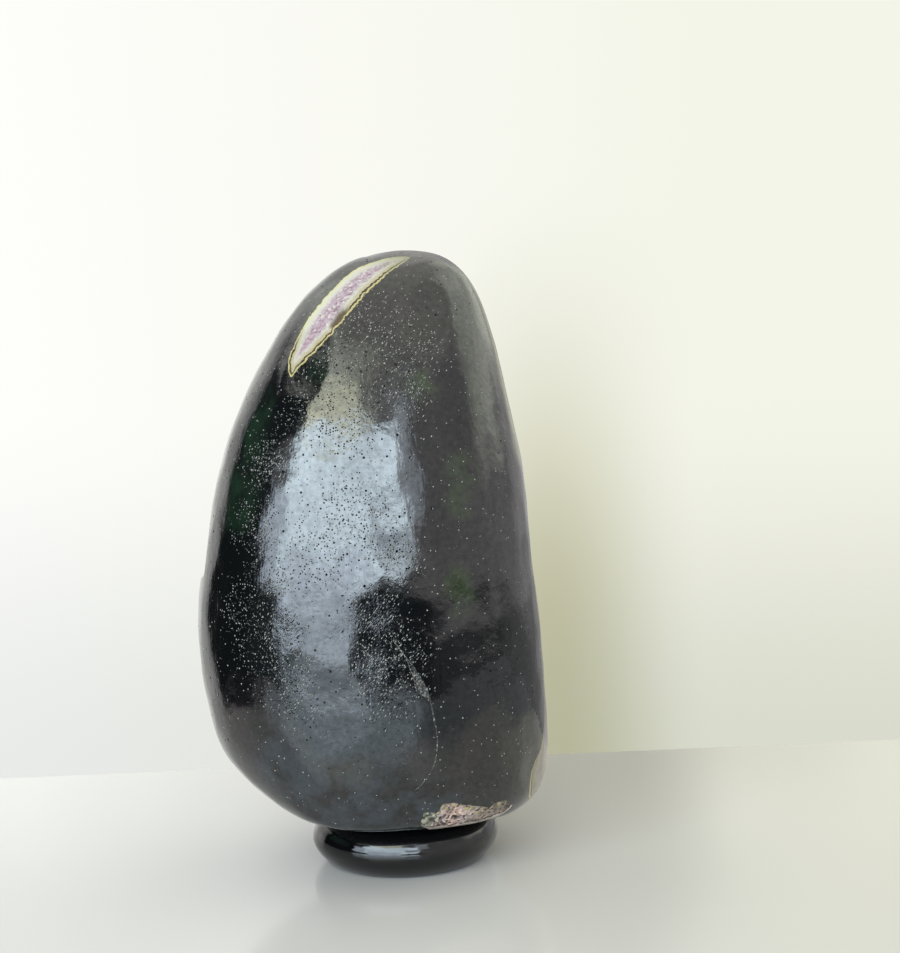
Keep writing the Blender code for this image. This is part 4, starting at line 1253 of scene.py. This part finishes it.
class GEODE_OT_window(bpy.types.Operator):
    """Makes the window's banded rim and the amethyst points that grow inside it"""
    bl_idname = "geode.window"
    bl_label = "Open the Crystal Window"

    def execute(self, context):
        settings = context.scene.geode_egg
        crystals = settings.crystals
        skin = Skin(settings.stone)
        near, faces, turn, radius, outer = window_sheet(skin)
        inner = outline_radius(WINDOW_BED, WINDOW_MIDDLE)(turn)
        rim = outer - radius
        sunk = smooth(inner - radius, -0.4, 2.6)
        depth = crystals.bed_depth / MM
        tops = PROUD - sunk * (depth + 0.7 * waves(near, 6.0))
        band = np.clip(rim / (outer - inner), 0, 1)
        mesh = slab("window_agate", skin, near, faces, tops, depth + WINDOW_WALL, sharp_angle=40, rim=rim,
                    band=band, sunk=sunk)
        violet = amethyst_crystal(crystals)
        points = grow(mesh.copy(), crystal_bed(), {
            "Point": quartz_point(), "Spacing": crystals.spacing, "Density": crystals.density,
            "Smallest": crystals.smallest, "Largest": crystals.largest, "Lean": crystals.lean,
            "Seed": crystals.seed, "Material": violet,
        })
        bpy.data.objects.remove(bpy.data.objects["quartz_point"])
        new_piece("window_agate", mesh, window_agate(settings.agate))
        new_piece("window_crystals", points, violet)
        return {"FINISHED"}


def quartz_point():
    """One six-sided point of radius 1, rooted under the bed, with three broad and three narrow tip faces."""
    corners = [(math.cos(math.radians(60 * k)), math.sin(math.radians(60 * k))) for k in range(6)]
    shoulders = [0.75 if k % 2 else 0.45 for k in range(6)]
    points = [(x, y, -0.6) for x, y in corners] + [(x, y, z) for (x, y), z in zip(corners, shoulders)]
    points.append((0.08, 0.05, 1.75))
    faces = [tuple(reversed(range(6)))]
    for k in range(6):
        after = (k + 1) % 6
        faces += [(k, after, after + 6, k + 6), (k + 6, after + 6, 12)]
    mesh = bpy.data.meshes.new("quartz_point")
    mesh.from_pydata(points, [], faces)
    carry(mesh, {"tip": [0.0] * 6 + [0.55] * 6 + [1.0]})
    thing = bpy.data.objects.new("quartz_point", mesh)
    bpy.context.scene.collection.objects.link(thing)
    return thing


class GEODE_OT_patch(bpy.types.Operator):
    """Lets the rough quartz into the stone at the foot"""
    bl_idname = "geode.patch"
    bl_label = "Inlay the Rough Quartz"

    def execute(self, context):
        skin = Skin(context.scene.geode_egg.stone)
        near, faces, along, across, rim = patch_sheet(skin)
        holes = np.array(PATCH_HOLES)
        middles = skin.seen_from(PATCH_VIEW, holes[:, 0], holes[:, 1])
        gaps = np.linalg.norm(near[:, None, :] - middles[None], axis=2) / holes[:, 2]
        low = across / (np.abs(across) + rim)
        hollow = smooth(gaps.min(1), 1.2, 0.6) * smooth(low, 0.5, 0.3)
        inside = smooth(rim, 0.0, 1.2) * smooth(low, 0.5, 0.2)
        knobs = 0.4 + 0.4 * waves(near, 2.2) + 0.3 * waves(near, 0.9)
        tops = PROUD - inside * knobs - 1.4 * hollow
        mesh = slab("foot_quartz", skin, near, faces, tops, PATCH_DEPTH, sharp_angle=25, along=along,
                    low=low, rim=rim, hollow=hollow)
        new_piece("foot_quartz", mesh, rough_quartz())
        return {"FINISHED"}


class GEODE_OT_vein(bpy.types.Operator):
    """Draws the quartz vein down the front, with broken grains where it splits"""
    bl_idname = "geode.vein"
    bl_label = "Draw the Vein"

    def execute(self, context):
        skin = Skin(context.scene.geode_egg.stone)
        line = bpy.data.curves.new("vein_line", "CURVE")
        line.dimensions = "3D"
        for thread in VEIN:
            x, z, radii = np.array(thread).T
            places = skin.points(skin.seen_from(FRONT_VIEW, x, z))
            places = places - heading(*FRONT_VIEW) * radii[:, None] * VEIN_SUNK
            spline = line.splines.new("POLY")
            spline.points.add(len(places) - 1)
            for point, place, radius in zip(spline.points, places, radii):
                point.co = (*(Vector(place) * MM + AXIS), 1.0)
                point.radius = radius * MM
        material = vein_quartz()
        mesh = grow(line, rough_thread(), {
            "Step": 0.5 * MM, "Lump size": 1.2 * MM, "Lump height": 0.5 * MM, "Material": material,
        })
        mesh.shade_smooth()
        mesh.set_sharp_from_angle(angle=math.radians(40))
        new_piece("quartz_vein", mesh, material)
        near, faces, _, _, rim = lens_sheet(skin)
        tops = PROUD - smooth(rim, 0.0, 0.4) * (0.3 + 0.35 * waves(near, 0.8))
        grains = slab("vein_grains", skin, near, faces, tops, LENS_DEPTH, sharp_angle=20)
        new_piece("vein_grains", grains, material)
        return {"FINISHED"}


class GEODE_OT_ring(bpy.types.Operator):
    """Makes the smooth glass ring"""
    bl_idname = "geode.ring"
    bl_label = "Cast the Ring"

    def execute(self, context):
        ring = context.scene.geode_egg.ring
        ground = ring.ground_off
        half = (RING_HIGH.z + ground) / 2
        reach = ring.glass_width / 2
        middle = (RING_HIGH.x - RING_LOW.x) / 2 - reach
        flat_angle = math.asin(1 - ground / half)
        section = []
        for angle in np.linspace(-flat_angle, math.pi + flat_angle, ring.arc_steps + 1):
            drawn_in = 1 - ring.foot_taper * max(0.0, -math.sin(angle)) ** 1.5
            section.append((middle + reach * math.cos(angle) * drawn_in,
                            half - ground + half * math.sin(angle)))
        points, faces = [], []
        count = len(section)
        for step in range(ring.steps):
            turn = 2 * math.pi * step / ring.steps
            points += [(r * math.cos(turn) / MM, r * math.sin(turn) / MM, z / MM) for r, z in section]
            onward = (step + 1) % ring.steps
            for i in range(count):
                j = (i + 1) % count
                faces.append((step * count + i, onward * count + i, onward * count + j, step * count + j))
        mesh = new_mesh("glass_ring", points, faces, sharp_angle=30)
        new_piece("glass_ring", mesh, black_glass(ring), "ring_stand")
        return {"FINISHED"}


class GEODE_OT_stage(bpy.types.Operator):
    """Sets the camera, the pale board and the room's soft light"""
    bl_idname = "geode.stage"
    bl_label = "Set the Stage"

    def execute(self, context):
        studio = context.scene.geode_egg.studio
        lay_board(studio)
        light_room(studio)
        place_camera(studio)
        context.scene.view_settings.view_transform = "Standard"
        return {"FINISHED"}


def lay_board(studio):
    """The board's top is the surface that the ring stands on."""
    board = bmesh.new()
    bmesh.ops.create_cube(board, size=1.0)
    size = Vector((studio.board_left + studio.board_right, studio.board_front + studio.board_back,
                   BOARD_THICKNESS * MM))
    middle = AXIS + Vector(((studio.board_right - studio.board_left) / 2,
                            (studio.board_back - studio.board_front) / 2, -size.z / 2))
    place = Matrix.Translation(middle) @ Matrix.Diagonal((*size, 1))
    bmesh.ops.transform(board, matrix=place, verts=board.verts)
    mesh = bpy.data.meshes.new("board")
    board.to_mesh(mesh)
    board.free()
    mesh.materials.append(glazed_board(studio))
    thing = bpy.data.objects.new("board", mesh)
    bpy.context.scene.collection.objects.link(thing)


def mirrored_room(studio, tree, toward):
    """The room's light in every direction: the lights are laid over each other, in their order."""
    # The lights' edges waver, as folds of cloth and things on the sill make them
    folds = add(tree, "ShaderNodeTexNoise", {"Vector": toward, "Scale": 5.0, "Detail": 2.5}).outputs["Color"]
    folds = add(tree, "ShaderNodeVectorMath", {0: folds, 1: (0.5,) * 3}, operation="SUBTRACT").outputs[0]
    folds = add(tree, "ShaderNodeVectorMath", {0: folds, "Scale": LIGHT_WAVER}, operation="SCALE").outputs[0]
    toward = add(tree, "ShaderNodeVectorMath", {0: toward, 1: folds}, operation="ADD").outputs[0]
    toward = add(tree, "ShaderNodeVectorMath", {0: toward}, operation="NORMALIZE").outputs[0]
    rise = add(tree, "ShaderNodeSeparateXYZ", {0: toward}).outputs["Z"]
    for step in ("ARCSINE", "DEGREES"):
        rise = add(tree, "ShaderNodeMath", {0: rise}, operation=step).outputs[0]
    level = add(tree, "ShaderNodeVectorMath", {0: toward, 1: (1.0, 1.0, 0.0)},
                operation="MULTIPLY").outputs[0]
    level = add(tree, "ShaderNodeVectorMath", {0: level}, operation="NORMALIZE").outputs[0]
    room = opaque(studio.room)
    for name, azimuth, elevation, wide, tall, soft_side, soft_top, colour, strength in ROOM_LIGHTS:
        middle = tuple(heading(azimuth, 0.0))
        turn = add(tree, "ShaderNodeVectorMath", {0: level, 1: middle},
                   operation="DOT_PRODUCT").outputs["Value"]
        for step in ("ARCCOSINE", "DEGREES"):
            turn = add(tree, "ShaderNodeMath", {0: turn}, operation=step).outputs[0]
        off = add(tree, "ShaderNodeMath", {0: rise, 1: float(elevation)}, operation="SUBTRACT").outputs[0]
        off = add(tree, "ShaderNodeMath", {0: off}, operation="ABSOLUTE").outputs[0]
        masks = [
            add(tree, "ShaderNodeMapRange", {
                "Value": value, "From Min": half + soft / 2, "From Max": half - soft / 2,
            }, interpolation_type="SMOOTHSTEP").outputs[0]
            for value, half, soft in ((turn, wide, soft_side), (off, tall, soft_top))]
        lit = add(tree, "ShaderNodeMath", {0: masks[0], 1: masks[1]}, operation="MULTIPLY").outputs[0]
        bright = opaque(tuple(strength * channel for channel in linear(colour)))
        room = add(tree, "ShaderNodeMix", {0: lit, 6: room, 7: bright}, data_type="RGBA",
                   label=name).outputs[2]
    haze = add(tree, "ShaderNodeTexNoise", {"Vector": toward, "Scale": 3.0, "Detail": 3.0}).outputs["Fac"]
    haze = add(tree, "ShaderNodeMapRange", {
        "Value": haze, "From Min": 0.3, "From Max": 0.7, "To Min": 0.75, "To Max": 1.2,
    }).outputs[0]
    return add(tree, "ShaderNodeBackground", {"Color": room, "Strength": haze}).outputs[0]


def plain_backdrop(studio, tree, toward):
    """What the camera sees behind the egg: pale, turning from left to right, with the egg's soft shadow."""
    parts = add(tree, "ShaderNodeSeparateXYZ", {0: toward}).outputs
    shade = add(tree, "ShaderNodeMapRange", {
        "Value": parts["X"], "From Min": BACKDROP_TURN[0], "From Max": BACKDROP_TURN[1],
    }).outputs[0]
    plain, low = [
        add(tree, "ShaderNodeMix", {0: shade, 6: opaque(left), 7: opaque(right)},
            data_type="RGBA").outputs[2]
        for left, right in ((studio.wall, studio.far_wall), (studio.low_wall, studio.far_low_wall))]
    aside = add(tree, "ShaderNodeMath", {0: parts["X"], 1: studio.shadow_place},
                operation="SUBTRACT").outputs[0]
    aside = add(tree, "ShaderNodeMath", {0: aside}, operation="ABSOLUTE").outputs[0]
    fall, dusk, sunk = [
        add(tree, "ShaderNodeMapRange", {"Value": value, "From Min": start, "From Max": end},
            interpolation_type="SMOOTHSTEP").outputs[0]
        for value, (start, end) in ((parts["Z"], BACKDROP_FALL), (aside, (SHADOW_HALF_WIDTH, 0.0)),
                                    (parts["Z"], SHADOW_FALL))]
    dusk = add(tree, "ShaderNodeMath", {0: dusk, 1: sunk}, operation="MULTIPLY").outputs[0]
    plain = add(tree, "ShaderNodeMix", {0: fall, 6: plain, 7: low}, data_type="RGBA").outputs[2]
    plain = add(tree, "ShaderNodeMix", {0: dusk, 6: plain, 7: opaque(studio.shadow)}, data_type="RGBA",
                blend_type="MULTIPLY").outputs[2]
    return add(tree, "ShaderNodeBackground", {"Color": plain}).outputs[0]


def light_room(studio):
    """The stone mirrors a bright room with a window, and the camera sees a plain backdrop behind the egg."""
    world = bpy.data.worlds.new("studio_room")
    bpy.context.scene.world = world
    world.use_nodes = True
    tree = world.node_tree
    tree.nodes.clear()
    toward = add(tree, "ShaderNodeTexCoord").outputs["Generated"]
    direct = add(tree, "ShaderNodeLightPath").outputs["Is Camera Ray"]
    both = add(tree, "ShaderNodeMixShader", {
        0: direct, 1: mirrored_room(studio, tree, toward), 2: plain_backdrop(studio, tree, toward),
    }).outputs[0]
    add(tree, "ShaderNodeOutputWorld", {"Surface": both})


def place_camera(studio):
    """The camera stands in front of the ring, on its axis, turned, tilted and rolled a little."""
    ahead = math.cos(studio.pitch)
    forward = Vector((math.sin(studio.yaw) * ahead, math.cos(studio.yaw) * ahead,
                      math.sin(studio.pitch)))
    level = Vector((math.cos(studio.yaw), -math.sin(studio.yaw), 0.0))
    above = level.cross(forward)
    right = level * math.cos(studio.roll) - above * math.sin(studio.roll)
    up = level * math.sin(studio.roll) + above * math.cos(studio.roll)
    lens = bpy.data.cameras.new("camera")
    lens.lens = studio.lens
    lens.sensor_width = 36.0
    lens.clip_start = 0.01
    camera = bpy.data.objects.new("camera", lens)
    place = Matrix.Identity(4)
    for column, axis in enumerate((right, up, -forward, AXIS + Vector(studio.eye))):
        for row in range(3):
            place[row][column] = axis[row]
    camera.matrix_world = place
    bpy.context.scene.collection.objects.link(camera)
    bpy.context.scene.camera = camera


STEPS = (GEODE_OT_stone, GEODE_OT_slit, GEODE_OT_window, GEODE_OT_patch, GEODE_OT_vein, GEODE_OT_ring,
         GEODE_OT_stage)


class GEODE_PT_steps(bpy.types.Panel):
    """Lists the steps that finish the egg"""
    bl_label = "Geode Egg"
    bl_idname = "GEODE_PT_steps"
    bl_space_type = "VIEW_3D"
    bl_region_type = "UI"
    bl_category = "Geode Egg"

    def draw(self, context):
        for step in STEPS:
            self.layout.operator(step.bl_idname)


CLASSES = (GEODE_PG_stone, GEODE_PG_agate, GEODE_PG_crystals, GEODE_PG_ring, GEODE_PG_studio, GEODE_PG_egg,
           *STEPS, GEODE_PT_steps)


def register():
    for part in CLASSES:
        bpy.utils.register_class(part)
    bpy.types.Scene.geode_egg = PointerProperty(type=GEODE_PG_egg)


def unregister():
    del bpy.types.Scene.geode_egg
    for part in reversed(CLASSES):
        bpy.utils.unregister_class(part)


def main():
    register()
    for step in STEPS:
        group, name = step.bl_idname.split(".")
        if getattr(getattr(bpy.ops, group), name)() != {"FINISHED"}:
            raise RuntimeError(f"{step.bl_label} did not finish")


if __name__ == "__main__":
    main()
